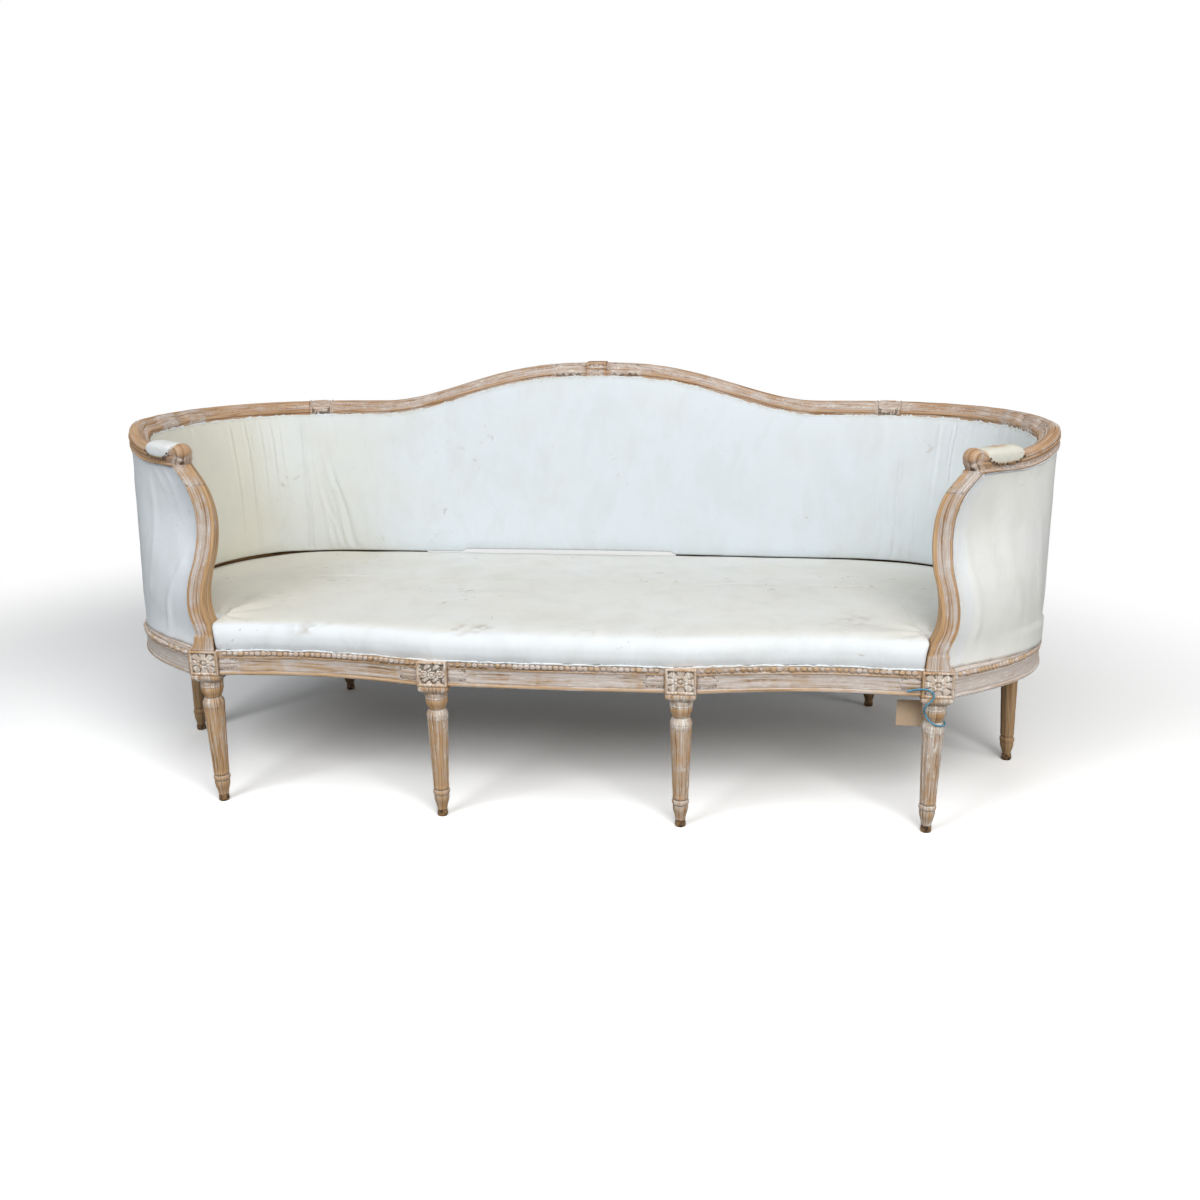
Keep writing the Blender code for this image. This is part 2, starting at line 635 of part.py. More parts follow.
def build_top_rail():
    def section_of(station):
        return top_section(top_height(station))

    butt = GAP / 2
    rings = run_rings(top_frame, 0, 1, CREST_STEPS, section_of, 0, butt)
    crest = loft_part("crest_rail", mirrored_rings(rings), 1, WOOD_LIMED)
    add_boolean(crest, crest_block(), "UNION")
    for hand, side in HANDS:
        rings = run_rings(top_frame, 1, 2, CORNER_STEPS, section_of, butt, butt)
        loft_part(f"top_rail_corner_{hand}", rings, side, WOOD_LIMED)
        rings = run_rings(top_frame, 2, 3, ARM_STEPS, section_of, butt, 0)
        arm = loft_part(f"arm_rail_{hand}", rings, side, WOOD_LIMED)
        add_boolean(arm, knuckle(f"knuckle_{hand}", side), "UNION")


def crest_block():
    point, travel, inward = frame_at(top_point, 0)
    height = TOP_RAIL_HEIGHT + CREST_BLOCK_STAND
    depth = TOP_RAIL_DEPTH + 2 * CREST_BLOCK_STAND
    bm = bmesh.new()
    bmesh.ops.create_cube(bm, size=1)
    bmesh.ops.scale(bm, verts=bm.verts, vec=(CREST_BLOCK_WIDTH, depth, height))
    centre = (0, point.y - TOP_RAIL_DEPTH / 2, top_height(0) + CREST_BLOCK_STAND - height / 2)
    bmesh.ops.translate(bm, verts=bm.verts, vec=centre)
    return add_cutter("crest_block", mesh_from("crest_block", bm))


def knuckle(name, side):
    """The rolled end of the arm: a drum across the rail, cut flat where the support meets it."""
    bm = bmesh.new()
    width = TOP_RAIL_DEPTH + 2 * KNUCKLE_STAND
    bmesh.ops.create_cone(bm, cap_ends=True, segments=KNUCKLE_STEPS, radius1=KNUCKLE_RADIUS,
                          radius2=KNUCKLE_RADIUS, depth=width)
    bmesh.ops.rotate(bm, verts=bm.verts, matrix=Matrix.Rotation(math.pi / 2, 3, "Y"))
    angle = math.atan2(ARM_INWARD.y, ARM_INWARD.x)
    bmesh.ops.rotate(bm, verts=bm.verts, matrix=Matrix.Rotation(angle, 3, "Z"))
    centre = ARM_END + ARM_INWARD * TOP_RAIL_DEPTH / 2
    height = TOP_LEVEL - ARM_DROP + KNUCKLE_STAND - KNUCKLE_RADIUS
    bmesh.ops.translate(bm, verts=bm.verts, vec=(centre.x, centre.y, height))
    cut = bmesh.ops.bisect_plane(bm, geom=bm.verts[:] + bm.edges[:] + bm.faces[:],
                                 plane_co=(0, 0, UNDER_ARM), plane_no=(0, 0, -1), clear_outer=True)
    edges = [item for item in cut["geom_cut"] if isinstance(item, bmesh.types.BMEdge)]
    bmesh.ops.contextual_create(bm, geom=edges)
    bmesh.ops.scale(bm, verts=bm.verts, vec=(side, 1, 1))
    return add_cutter(name, mesh_from(name, bm))


def support_rings(clearance):
    """Level sections of the arm support, grown all round by a clearance."""
    rings = []
    wide = SUPPORT_WIDTH + 2 * clearance
    deep = SUPPORT_DEPTH + 2 * clearance
    low, high = RAIL_TOP + GAP - clearance, UNDER_ARM - GAP + clearance
    for row in SUPPORT_SWEEP_SHARES:
        centre, across, back = support_frame(row[0])
        z = lerp(low, high, row[0])
        flat = [centre + across * wide * a + back * deep * b for a, b in SUPPORT_SECTION_SHARES]
        rings.append([Vector((p.x, p.y, z)) for p in flat])
    return rings


def build_supports():
    """The two supports, and for each a slightly larger copy that trims what butts against it."""
    trims = {}
    for hand, side in HANDS:
        loft_part(f"arm_support_{hand}", support_rings(0.0), side, WOOD_LIMED)
        rings = [[Vector((side * p.x, p.y, p.z)) for p in ring] for ring in support_rings(CLOTH_CLEARANCE)]
        trims[hand] = add_cutter(f"support_trim_{hand}", loft_mesh(f"support_trim_{hand}", rings))
    return trims


def stile_ring(station, z):
    point, travel, inward = skin_frame(station, z)
    ring = []
    for along, deep in ((-1, 0), (1, 0), (1, 1), (-1, 1)):
        p = point + travel * along * STILE_WIDTH / 2 + inward * (STILE_INSET + deep * STILE_THICKNESS)
        ring.append(Vector((p.x, p.y, z)))
    return ring


def build_stiles():
    for place, station in (("back", 1), ("side", 2)):
        head = top_height(station) - TOP_RAIL_HEIGHT - GAP
        heights = (RAIL_TOP + GAP, STAY_BOTTOM, STAY_TOP, head)
        rings = [stile_ring(station, z) for z in heights]
        for hand, side in HANDS:
            loft_part(f"stile_{place}_{hand}", rings, side, WOOD_RAW)


def front_taper(station):
    """How far the hidden frame has thinned towards the arm support, from 0 to 1."""
    return smooth((station - TAPER_START) / (3 - TAPER_START))


def frame_inset(station):
    """Depth of the hidden frame's inner face from the outer skin."""
    return lerp(STILE_INSET + STILE_THICKNESS, FRAME_END_INSET, front_taper(station))


def build_stay_rails(trims):
    """The low back rails, which carry the foot of the inside covers, between the stiles."""
    def section_of(station):
        inner = frame_inset(station) - STAY_SHRINK
        low, high = STAY_BOTTOM, STAY_TOP
        return ((STILE_INSET, low), (inner, low), (inner, high), (STILE_INSET, high))

    stile_trim = STILE_WIDTH / 2 + GAP
    rings = run_rings(skin_frame, 0, 1, CREST_STEPS // 2, section_of, 0, stile_trim)
    back = loft_part("stay_rail_back", mirrored_rings(rings), 1, WOOD_RAW)
    add_boolean(back, sight_gap(), "DIFFERENCE")
    for hand, side in HANDS:
        rings = run_rings(skin_frame, 1, 2, CORNER_STEPS, section_of, stile_trim, stile_trim)
        loft_part(f"stay_rail_corner_{hand}", rings, side, WOOD_RAW)
        rings = run_rings(skin_frame, 2, 3, ARM_STEPS, section_of, stile_trim, 0)
        rail = loft_part(f"stay_rail_side_{hand}", rings, side, WOOD_RAW)
        add_boolean(rail, trims[hand], "DIFFERENCE")


def sight_gap():
    """The long shallow recess under the back stay rail, through which light shows over the seat."""
    bm = bmesh.new()
    bmesh.ops.create_cube(bm, size=1)
    bottom = STAY_BOTTOM - STAY_SHRINK
    size = (SIGHT_GAP_RIGHT - SIGHT_GAP_LEFT, DEPTH, SIGHT_GAP_TOP - bottom)
    bmesh.ops.scale(bm, verts=bm.verts, vec=size)
    centre = ((SIGHT_GAP_LEFT + SIGHT_GAP_RIGHT) / 2, 0, (SIGHT_GAP_TOP + bottom) / 2)
    bmesh.ops.translate(bm, verts=bm.verts, vec=centre)
    return add_cutter("sight_gap", mesh_from("sight_gap", bm))


def build_braces():
    start = MIDDLE_LEG_Y + BLOCK / 2 + GAP
    edges = [seat_point(station_at_x(MIDDLE_LEG_X + e * BRACE_WIDTH / 2)).y for e in (-1, 1)]
    end = min(edges) - RAIL_THICKNESS - 2 * GAP
    low = RAIL_TOP - BRACE_HEIGHT
    for hand, side in HANDS:
        corners = ((-1, low), (1, low), (1, RAIL_TOP), (-1, RAIL_TOP))
        ring = [(MIDDLE_LEG_X + a * BRACE_WIDTH / 2, z) for a, z in corners]
        rings = [[Vector((x, y, z)) for x, z in ring] for y in (start, end)]
        loft_part(f"cross_brace_{hand}", rings, side, WOOD_RAW)


def station_at_x(x):
    """The station on the straight back at a given distance from the middle."""
    return x / CORNER_START_X / SEAT_STATIONS[1]


def grid_mesh(name, rows, side):
    """An open surface through equal rows of points."""
    bm = bmesh.new()
    lines = [[bm.verts.new((side * p[0], p[1], p[2])) for p in row] for row in rows]
    for near, far in zip(lines, lines[1:]):
        for i in range(len(near) - 1):
            quad = (near[i], near[i + 1], far[i + 1], far[i])
            bm.faces.new(quad if side > 0 else tuple(reversed(quad)))
    mesh = bpy.data.meshes.new(name)
    bm.to_mesh(mesh)
    bm.free()
    return mesh


def cover_rows(stations, low_of):
    """Rows of points on the outside of the tub, each from the rail or stay up to the top rail."""
    rows = []
    for station in stations:
        high = top_height(station) - TOP_RAIL_HEIGHT - CLOTH_CLEARANCE
        row = []
        for z in spread(low_of(station), high, SHELL_ROWS):
            point, travel, inward = skin_frame(station, z)
            p = point + inward * COVER_INSET
            row.append(Vector((p.x, p.y, z)))
        rows.append(row)
    return rows


def add_solidify(obj, thickness):
    solid = obj.modifiers.new("thickness", "SOLIDIFY")
    solid.thickness = thickness
    solid.offset = -1
    solid.use_even_offset = True


def build_covers(trims):
    seam = LINING_SEAM
    rows = cover_rows(spread(0, 1 - seam, CREST_STEPS), lambda s: SIGHT_GAP_TOP)
    other = [[Vector((-p.x, p.y, p.z)) for p in row] for row in reversed(rows[1:])]
    back = add_part("outside_back_cover", grid_mesh("outside_back_cover", other + rows, 1), CALICO)
    add_solidify(back, COVER_THICKNESS)
    stations = spread(1 + seam, 2, CORNER_STEPS) + spread(2, 3, ARM_STEPS)[1:]
    rows = cover_rows(stations, lambda s: RAIL_TOP + CLOTH_CLEARANCE)
    for hand, side in HANDS:
        name = f"outside_arm_cover_{hand}"
        cover = add_part(name, grid_mesh(name, rows, side), CALICO)
        add_solidify(cover, COVER_THICKNESS)
        add_boolean(cover, trims[hand], "DIFFERENCE")


def lining_ring(station):
    """Upright section of the inside cover: flat against the stiles, swelling from its top to its foot."""
    taper = front_taper(station)
    rear = frame_inset(station) + CLOTH_CLEARANCE
    full = lerp(LINING_DEPTH, LINING_END_DEPTH, taper)
    slim = lerp(LINING_TOP_DEPTH, LINING_END_DEPTH, taper)
    low = SIGHT_GAP_TOP - STAY_SHRINK
    high = top_height(station) - TOP_RAIL_HEIGHT - CLOTH_CLEARANCE
    ring = [(0.0, share) for share in LINING_BACK_SHARES]
    ring += [(lerp(slim, full, depth), share) for depth, share in LINING_FACE_SHARES]
    ring += [(full * depth, share) for depth, share in LINING_FOOT_SHARES]
    return run_ring(skin_frame, station, [(rear + depth, lerp(low, high, share)) for depth, share in ring])


def build_linings(trims):
    seam = LINING_SEAM
    rings = [lining_ring(s) for s in spread(0, 1 - seam, CREST_STEPS)]
    loft_part("inside_back", mirrored_rings(rings), 1, CALICO)
    stations = spread(1 + seam, 2, CORNER_STEPS) + spread(2, 3, ARM_STEPS)[1:]
    for hand, side in HANDS:
        lining = loft_part(f"inside_arm_{hand}", [lining_ring(s) for s in stations], side, CALICO)
        add_boolean(lining, trims[hand], "DIFFERENCE")


def seat_outline(edge_inset, front_inset):
    """Half outline of the seat, from the middle of the back round to the middle of the front."""
    points = []
    stations = spread(0, 1, SEAT_SIDE_STEPS) + spread(1, 2, SEAT_SIDE_STEPS)[1:]
    stations += spread(2, SEAT_END_STATION, SEAT_SIDE_STEPS)[1:]
    for station in stations:
        point, travel, inward = shell_frame(station, 0.0)
        points.append(point + inward * edge_inset)
    support_side = SUPPORT_FOOT.x - SUPPORT_WIDTH / 2 - SEAT_SIDE_CLEARANCE
    centre, across, back = support_frame((SEAT_TOP + SEAT_CROWN - RAIL_TOP) / (UNDER_ARM - RAIL_TOP))
    support_back = centre.y + SUPPORT_DEPTH / 2 + SEAT_SIDE_CLEARANCE
    corner_face = CORNER_LEG_Y - BLOCK / 2
    middle_face = MIDDLE_LEG_Y - BLOCK / 2
    points = [p for p in points if p.x < support_side or p.y > support_back]
    points.append(Vector((support_side, support_back)))
    for share in spread(0, 1, SEAT_FRONT_STEPS):
        face = front_face(support_side, corner_face, MIDDLE_LEG_X, middle_face, FRONT_HOLLOW, share)
        points.append(face + Vector((0, front_inset)))
    for share in spread(1, 1 / 2, SEAT_FRONT_STEPS // 2)[1:]:
        face = front_face(-MIDDLE_LEG_X, middle_face, MIDDLE_LEG_X, middle_face, -FRONT_BOW, share)
        points.append(face + Vector((0, front_inset)))
    return points


def whole_outline(half):
    return half + [Vector((-p.x, p.y)) for p in reversed(half[1:-1])]


def build_webbing():
    """Woven straps over the seat rails, as one sheet with the open squares between the straps."""
    edge_inset = STILE_INSET + STILE_THICKNESS + CLOTH_CLEARANCE
    outline = whole_outline(seat_outline(edge_inset, WEBBING_FRONT_INSET))
    low = RAIL_TOP + GAP
    rings = [[Vector((p.x, p.y, z)) for p in outline] for z in (low, low + WEBBING_THICKNESS)]
    webbing = loft_part("seat_webbing", rings, 1, JUTE)
    left = -CORNER_LEG_X
    front = CORNER_LEG_Y + BLOCK
    step_x = 2 * CORNER_LEG_X / WEBBING_COLUMNS
    step_y = (SEAT_BACK_Y - 2 * RAIL_THICKNESS - front) / WEBBING_ROWS
    bm = bmesh.new()
    for column in range(WEBBING_COLUMNS):
        for row in range(WEBBING_ROWS):
            hole = bmesh.ops.create_cube(bm, size=1)["verts"]
            size = (step_x - WEBBING_STRAP, step_y - WEBBING_STRAP, BLOCK)
            bmesh.ops.scale(bm, verts=hole, vec=size)
            place = (left + (column + 1 / 2) * step_x, front + (row + 1 / 2) * step_y, low)
            bmesh.ops.translate(bm, verts=hole, vec=place)
    add_boolean(webbing, add_cutter("webbing_holes", mesh_from("webbing_holes", bm)), "DIFFERENCE")


def build_seat():
    """The stuffed seat: a rolled edge all round and a low crown over the middle."""
    outline = whole_outline(seat_outline(SEAT_EDGE_INSET, BEAD_BAND))
    low = RAIL_TOP + WEBBING_THICKNESS + 2 * GAP
    spine_half = CORNER_START_X
    height = SEAT_TOP - low
    rings = []
    for up, inward in SEAT_EDGE_SHARES:
        rings.append([shrink(p, inward, spine_half, low + height * up) for p in outline])
    for inward in SEAT_CROWN_SHARES:
        z = SEAT_TOP + SEAT_CROWN * smooth(inward)
        rings.append([shrink(p, inward, spine_half, z) for p in outline])
    loft_part("seat_pad", rings, 1, CALICO_WORN)


def shrink(point, share, spine_half, z):
    spine_x = min(max(point.x, -spine_half), spine_half)
    return Vector((lerp(point.x, spine_x, share), lerp(point.y, 0, share), z))


def build_arm_pads():
    """Small padded rests on the arms, highest in the middle and drawn in at both ends."""
    for hand, side in HANDS:
        rings = []
        for station in spread(PAD_START, PAD_END, PAD_STEPS):
            share = (station - PAD_START) / (PAD_END - PAD_START)
            swell = lerp(PAD_TIP_SHARE, 1, math.sqrt(max(1 - (2 * share - 1) ** 2, 0)))
            point, travel, inward = frame_at(top_point, station)
            middle = point + inward * TOP_RAIL_DEPTH / 2
            base = top_height(station) + CLOTH_CLEARANCE
            half = [(w * swell * PAD_WIDTH / 2, base + h * swell * PAD_HEIGHT) for h, w in PAD_SECTION_SHARES]
            section = [(-d, z) for d, z in half] + [(d, z) for d, z in reversed(half[:-1])]
            rings.append(ring_at(middle, inward, section))
        loft_part(f"arm_pad_{hand}", rings, side, CALICO_WORN)


def route_curve(route, steps):
    """A smooth run of points through a route, each stretch a cubic that leaves at its neighbours' slope."""
    ends = [route[0]] + list(route) + [route[-1]]
    points = []
    for a, b, c, d in zip(ends, ends[1:], ends[2:], ends[3:]):
        for t in spread(0, 1, steps)[:-1]:
            near, far = (c - a) / 2, (d - b) / 2
            points.append(b * (2 * t ** 3 - 3 * t ** 2 + 1) + near * (t ** 3 - 2 * t ** 2 + t)
                          + c * (3 * t ** 2 - 2 * t ** 3) + far * (t ** 3 - t ** 2))
    return points + [route[-1]]


def build_tag():
    """A blank paper tag behind the leg, and the string that ties it there."""
    leg_foot = Vector((CORNER_LEG_X, CORNER_LEG_Y, 0))
    route = [leg_foot + Vector(point) for point in STRING_ROUTE]
    hole = route[-1]
    bm = bmesh.new()
    bmesh.ops.create_cube(bm, size=1)
    bmesh.ops.scale(bm, verts=bm.verts, vec=(TAG_WIDTH, TAG_THICKNESS, TAG_HEIGHT))
    bmesh.ops.translate(bm, verts=bm.verts, vec=(TAG_HOLE_INSET - TAG_WIDTH / 2, 0, 0))
    place = hole - Vector((0, STRING_DIAMETER / 4, 0))
    tag = add_part("paper_tag", mesh_from("paper_tag", bm), PAPER, place)
    bm = bmesh.new()
    bmesh.ops.create_cone(bm, cap_ends=True, segments=TURNED_STEPS, radius1=TAG_HOLE_RADIUS,
                          radius2=TAG_HOLE_RADIUS, depth=STRING_DIAMETER)
    bmesh.ops.rotate(bm, verts=bm.verts, matrix=Matrix.Rotation(math.pi / 2, 3, "X"))
    punch = add_cutter("tag_punch", mesh_from("tag_punch", bm))
    punch.location = place
    add_boolean(tag, punch, "DIFFERENCE")
    curve = bpy.data.curves.new("tag_string", "CURVE")
    curve.dimensions = "3D"
    curve.bevel_depth = STRING_DIAMETER / 2
    curve.bevel_resolution = 2
    curve.use_fill_caps = True
    points = route_curve(route, STRING_STEPS_PER_POINT)
    spline = curve.splines.new("POLY")
    spline.points.add(len(points) - 1)
    for target, point in zip(spline.points, points):
        target.co = (*(point - route[0]), 1)
    add_part("tag_string", curve, BLUE_COTTON, route[0])


clear_scene()
parts = new_collection("tub_sofa")
cutters = new_collection("cutters")
sofa = bpy.data.objects.new("tub_sofa", None)
parts.objects.link(sofa)

build_legs()
build_seat_rails()
build_top_rail()
support_trims = build_supports()
build_stiles()
build_stay_rails(support_trims)
build_braces()
build_covers(support_trims)
build_linings(support_trims)
build_webbing()
build_seat()
build_arm_pads()
build_tag()
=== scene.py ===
import math

import bpy
import numpy as np
from mathutils import Matrix, Vector


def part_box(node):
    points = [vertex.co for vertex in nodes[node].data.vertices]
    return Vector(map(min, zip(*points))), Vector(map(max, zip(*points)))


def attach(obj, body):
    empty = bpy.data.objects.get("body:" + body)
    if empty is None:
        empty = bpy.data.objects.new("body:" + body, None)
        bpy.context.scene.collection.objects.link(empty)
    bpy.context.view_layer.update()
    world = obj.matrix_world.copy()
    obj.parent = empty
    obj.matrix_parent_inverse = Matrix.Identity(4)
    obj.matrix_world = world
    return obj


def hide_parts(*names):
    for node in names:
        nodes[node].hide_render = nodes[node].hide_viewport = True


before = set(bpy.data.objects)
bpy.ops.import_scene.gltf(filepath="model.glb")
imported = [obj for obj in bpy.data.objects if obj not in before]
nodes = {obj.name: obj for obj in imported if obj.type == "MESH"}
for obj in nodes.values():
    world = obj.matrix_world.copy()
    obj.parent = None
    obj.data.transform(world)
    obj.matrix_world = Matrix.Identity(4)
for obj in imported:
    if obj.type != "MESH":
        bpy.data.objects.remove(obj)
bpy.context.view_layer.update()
print("frame loaded,", len(nodes), "nodes")

hands = (("left", -1), ("right", 1))


# ---------- camera, at the photo's angle ----------

view = {"lens": 34.493, "place": (0.38789, -2.66487, 1.16039), "yaw": 7.288, "pitch": 15.785, "roll": -0.727}


def makeCamera(v):
    yaw, pitch, roll = (math.radians(v[k]) for k in ("yaw", "pitch", "roll"))
    ahead = Vector((-math.sin(yaw) * math.cos(pitch), math.cos(yaw) * math.cos(pitch), -math.sin(pitch)))
    right = Vector((math.cos(yaw), math.sin(yaw), 0))
    up = right.cross(ahead)
    turnedRight = right * math.cos(roll) + up * math.sin(roll)
    turnedUp = up * math.cos(roll) - right * math.sin(roll)
    lens = bpy.data.cameras.new("camera")
    lens.lens = v["lens"]
    lens.sensor_width = 36
    lens.clip_start = 0.05
    camera = bpy.data.objects.new("camera", lens)
    bpy.context.scene.collection.objects.link(camera)
    turn = Matrix((turnedRight, turnedUp, -ahead)).transposed()
    camera.matrix_world = Matrix.Translation(v["place"]) @ turn.to_4x4()
    bpy.context.scene.camera = camera


makeCamera(view)


# ---------- mesh helpers ----------

def ease(x):
    x = np.clip(x, 0, 1)
    return x * x * (3 - 2 * x)


def mix(a, b, share):
    return a + (b - a) * share


# a bell curve: 1 at zero, almost nothing two away from it
def bell(x):
    return np.exp(-x ** 2)


# value noise from -1 to 1: a random number at each lattice point, eased in between
def rough(points, size, seed):
    q = np.asarray(points, float) / size + seed * 17.13
    cell = np.floor(q)
    f = ease(q - cell)
    total = 0
    for corner in np.ndindex(2, 2, 2):
        h = np.sin((cell + corner) @ np.array((127.1, 311.7, 74.7))) * 43758.5453
        weight = np.prod(np.where(np.array(corner) == 1, f, 1 - f), axis=-1)
        total = total + weight * (h - np.floor(h))
    return total * 2 - 1


def roughLine(x, size, seed):
    return rough(np.stack([x, 0 * x, 0 * x], -1), size, seed)


# noises on top of each other, from rows of height and size in metres and how much each stretches upwards
def swellsOf(table, place, seed):
    return sum(high * rough(place * (1, stretch, 1), size, seed + i) for i, (high, size, stretch) in enumerate(table))


# how far along a path [row, xyz] each of its points lies
def pathLength(path):
    return np.concatenate([[0], np.cumsum(np.linalg.norm(np.diff(path, axis=0), axis=1))])


# an even walk of a few points along an open section given as two columns, with the distance walked
def evenSection(first, second, count):
    length = pathLength(np.column_stack([first, second]))
    fine = np.linspace(0, length[-1], count)
    return np.interp(fine, length, first), np.interp(fine, length, second), fine


# points set back from a line or a skin: plan = point + inward * depth, at the heights z
def setBack(point, inward, depth, z):
    return np.concatenate([point + inward * depth[..., None], z[..., None]], -1)


# a cloth's own coordinates: metres along it, height, and a layer that keeps its noise apart from others'
def clothPlace(distance, z, layer=0):
    return np.stack([distance[:, None] + 0 * z, z, 0 * z + layer], -1)


# a grid of points [row, column, xyz] as one shell; the columns may close on themselves, and each end may be closed
# by a fan to its middle or by rungs between the first and second half of its ring
def gridShell(points, closeRound=False, ends=None, run=None, hollow=None, tone=None):
    rows, columns = points.shape[:2]
    index = np.arange(rows * columns).reshape(rows, columns)
    near, far = index[:-1], index[1:]
    if closeRound:
        nearNext, farNext = np.roll(near, -1, 1), np.roll(far, -1, 1)
    else:
        near, nearNext, far, farNext = near[:, :-1], near[:, 1:], far[:, :-1], far[:, 1:]
    quads = [np.stack([near, nearNext, farNext, far], -1).reshape(-1, 4)]
    values = {"run": (run, (3,)), "hollow": (hollow, ()), "tone": (tone, ())}
    shell = {"points": points.reshape(-1, 3), "triangles": np.zeros((0, 3), int)}
    for key, (value, size) in values.items():
        shell[key] = np.broadcast_to(0.0 if value is None else value, (rows, columns) + size).reshape((-1,) + size)
    if ends == "rungs":
        i = np.arange(columns // 2 - 1)
        for row, step in ((0, 1), (rows - 1, -1)):
            ring = index[row]
            quads.append(np.stack([ring[i + 1], ring[i], ring[columns - 1 - i], ring[columns - 2 - i]], -1)[:, ::step])
    if ends == "fan":
        fans = []
        for row, step in ((0, 1), (rows - 1, -1)):
            ring = index[row]
            centre = np.full(columns, len(shell["points"]))
            for key in ("points", "run", "hollow", "tone"):
                shell[key] = np.concatenate([shell[key], shell[key][ring].mean(0)[None]])
            fans.append(np.stack([np.roll(ring, -1), ring, centre], -1)[:, ::step])
        shell["triangles"] = np.vstack(fans)
    shell["quads"] = np.vstack(quads)
    if ends and volumeOf(shell) < 0:
        shell["quads"] = shell["quads"][:, ::-1]
        shell["triangles"] = shell["triangles"][:, ::-1]
    return shell


def closedShell(points, run=None, hollow=None, tone=None):
    return gridShell(points, True, "fan", run, hollow, tone)


# two faces of a cloth or pad, [row, column, xyz] each, as one closed shell
def twoFaceShell(face, rear, run, hollow=0.0, tone=0.0):
    hollow, tone = (np.broadcast_to(v, face.shape[:2]) for v in (hollow, tone))
    both = [np.concatenate([v, v[:, ::-1]], 1) for v in (run, hollow, tone)]
    return gridShell(np.concatenate([face, rear[:, ::-1]], 1), True, "rungs", *both)


def volumeOf(shell):
    p = shell["points"] - shell["points"].mean(0)
    faces = np.vstack([shell["quads"][:, [0, 1, 2]], shell["quads"][:, [0, 2, 3]], shell["triangles"]])
    a, b, c = p[faces[:, 0]], p[faces[:, 1]], p[faces[:, 2]]
    return np.einsum("ij,ij->i", a, np.cross(b, c)).sum() / 6


def mirrorShell(shell):
    other = dict(shell)
    other["points"] = shell["points"] * (-1, 1, 1)
    other["quads"] = shell["quads"][:, ::-1]
    other["triangles"] = shell["triangles"][:, ::-1]
    return other


def sideShells(shells, side):
    return shells if side > 0 else [mirrorShell(s) for s in shells]


def makeMesh(name, shells):
    start = np.cumsum([0] + [len(s["points"]) for s in shells])
    points = np.vstack([s["points"] for s in shells])
    quads = np.vstack([s["quads"] + n for s, n in zip(shells, start)])
    triangles = np.vstack([s["triangles"] + n for s, n in zip(shells, start)])
    corners = np.concatenate([quads.ravel(), triangles.ravel()]).astype(np.int32)
    sizes = np.concatenate([np.full(len(quads), 4), np.full(len(triangles), 3)])
    mesh = bpy.data.meshes.new(name)
    mesh.vertices.add(len(points))
    mesh.vertices.foreach_set("co", points.astype(np.float32).ravel())
    mesh.loops.add(len(corners))
    mesh.loops.foreach_set("vertex_index", corners)
    mesh.polygons.add(len(sizes))
    mesh.polygons.foreach_set("loop_start", (np.cumsum(sizes) - sizes).astype(np.int32))
    mesh.polygons.foreach_set("use_smooth", np.ones(len(sizes), bool))
    mesh.update(calc_edges=True)
    for key, kind, slot in (("run", "FLOAT_VECTOR", "vector"), ("hollow", "FLOAT", "value"),
                            ("tone", "FLOAT", "value")):
        values = np.concatenate([s[key] for s in shells]).astype(np.float32)
        mesh.attributes.new(key, kind, "POINT").data.foreach_set(slot, values.ravel())
    mesh.validate()
    return mesh


def addPiece(name, shells, finish, replaced=()):
    piece = bpy.data.objects.new(name, makeMesh(name, shells))
    bpy.context.scene.collection.objects.link(piece)
    piece.data.materials.append(finishes[finish])
    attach(piece, "root")
    if replaced:
        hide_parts(*replaced)
    return piece


# ---------- materials ----------

def addNode(tree, kind, inputs=(), **settings):
    made = tree.nodes.new("ShaderNode" + kind)
    for key, value in settings.items():
        setattr(made, key, value)
    for key, value in dict(inputs).items():
        if isinstance(value, bpy.types.NodeSocket):
            tree.links.new(value, made.inputs[key])
        else:
            made.inputs[key].default_value = value
    return made


def newMaterial(name, roughness, specular=0.3):
    material = bpy.data.materials.new(name)
    material.use_nodes = True
    shader = material.node_tree.nodes["Principled BSDF"]
    shader.inputs["Roughness"].default_value = roughness
    shader.inputs["Specular IOR Level"].default_value = specular
    return material, material.node_tree, shader


def attributeOf(tree, name, part="Fac"):
    return addNode(tree, "Attribute", attribute_name=name).outputs[part]


def objectPlace(tree):
    return addNode(tree, "TexCoord").outputs["Object"]


def stretched(tree, vector, scale):
    return addNode(tree, "Mapping", {"Vector": vector, "Scale": scale}).outputs["Vector"]


def noiseOf(tree, vector, scale, detail, distortion=0.0):
    return addNode(tree, "TexNoise", {"Vector": vector, "Scale": scale, "Detail": detail,
                                      "Distortion": distortion}).outputs["Fac"]


# noise drawn out along the grain or a thread: one scale for each axis
def grainOf(tree, vector, scale, detail, distortion=0.0):
    return noiseOf(tree, stretched(tree, vector, scale), 1.0, detail, distortion)


# crossed threads: waves one way and the other
def threadsOf(tree, vector, **inputs):
    wave = {"Vector": vector, **{key.capitalize(): value for key, value in inputs.items()}}
    return [addNode(tree, "TexWave", wave, bands_direction=way).outputs["Fac"] for way in ("X", "Y")]


def rampOf(tree, value, *stops):
    made = addNode(tree, "ValToRGB", {"Fac": value})
    ramp = made.color_ramp
    while len(ramp.elements) < len(stops):
        ramp.elements.new(0.5)
    for element, (place, colour) in zip(ramp.elements, stops):
        element.position = place
        element.color = (*colour, 1) if hasattr(colour, "__len__") else (colour, colour, colour, 1)
    return made.outputs["Color"]


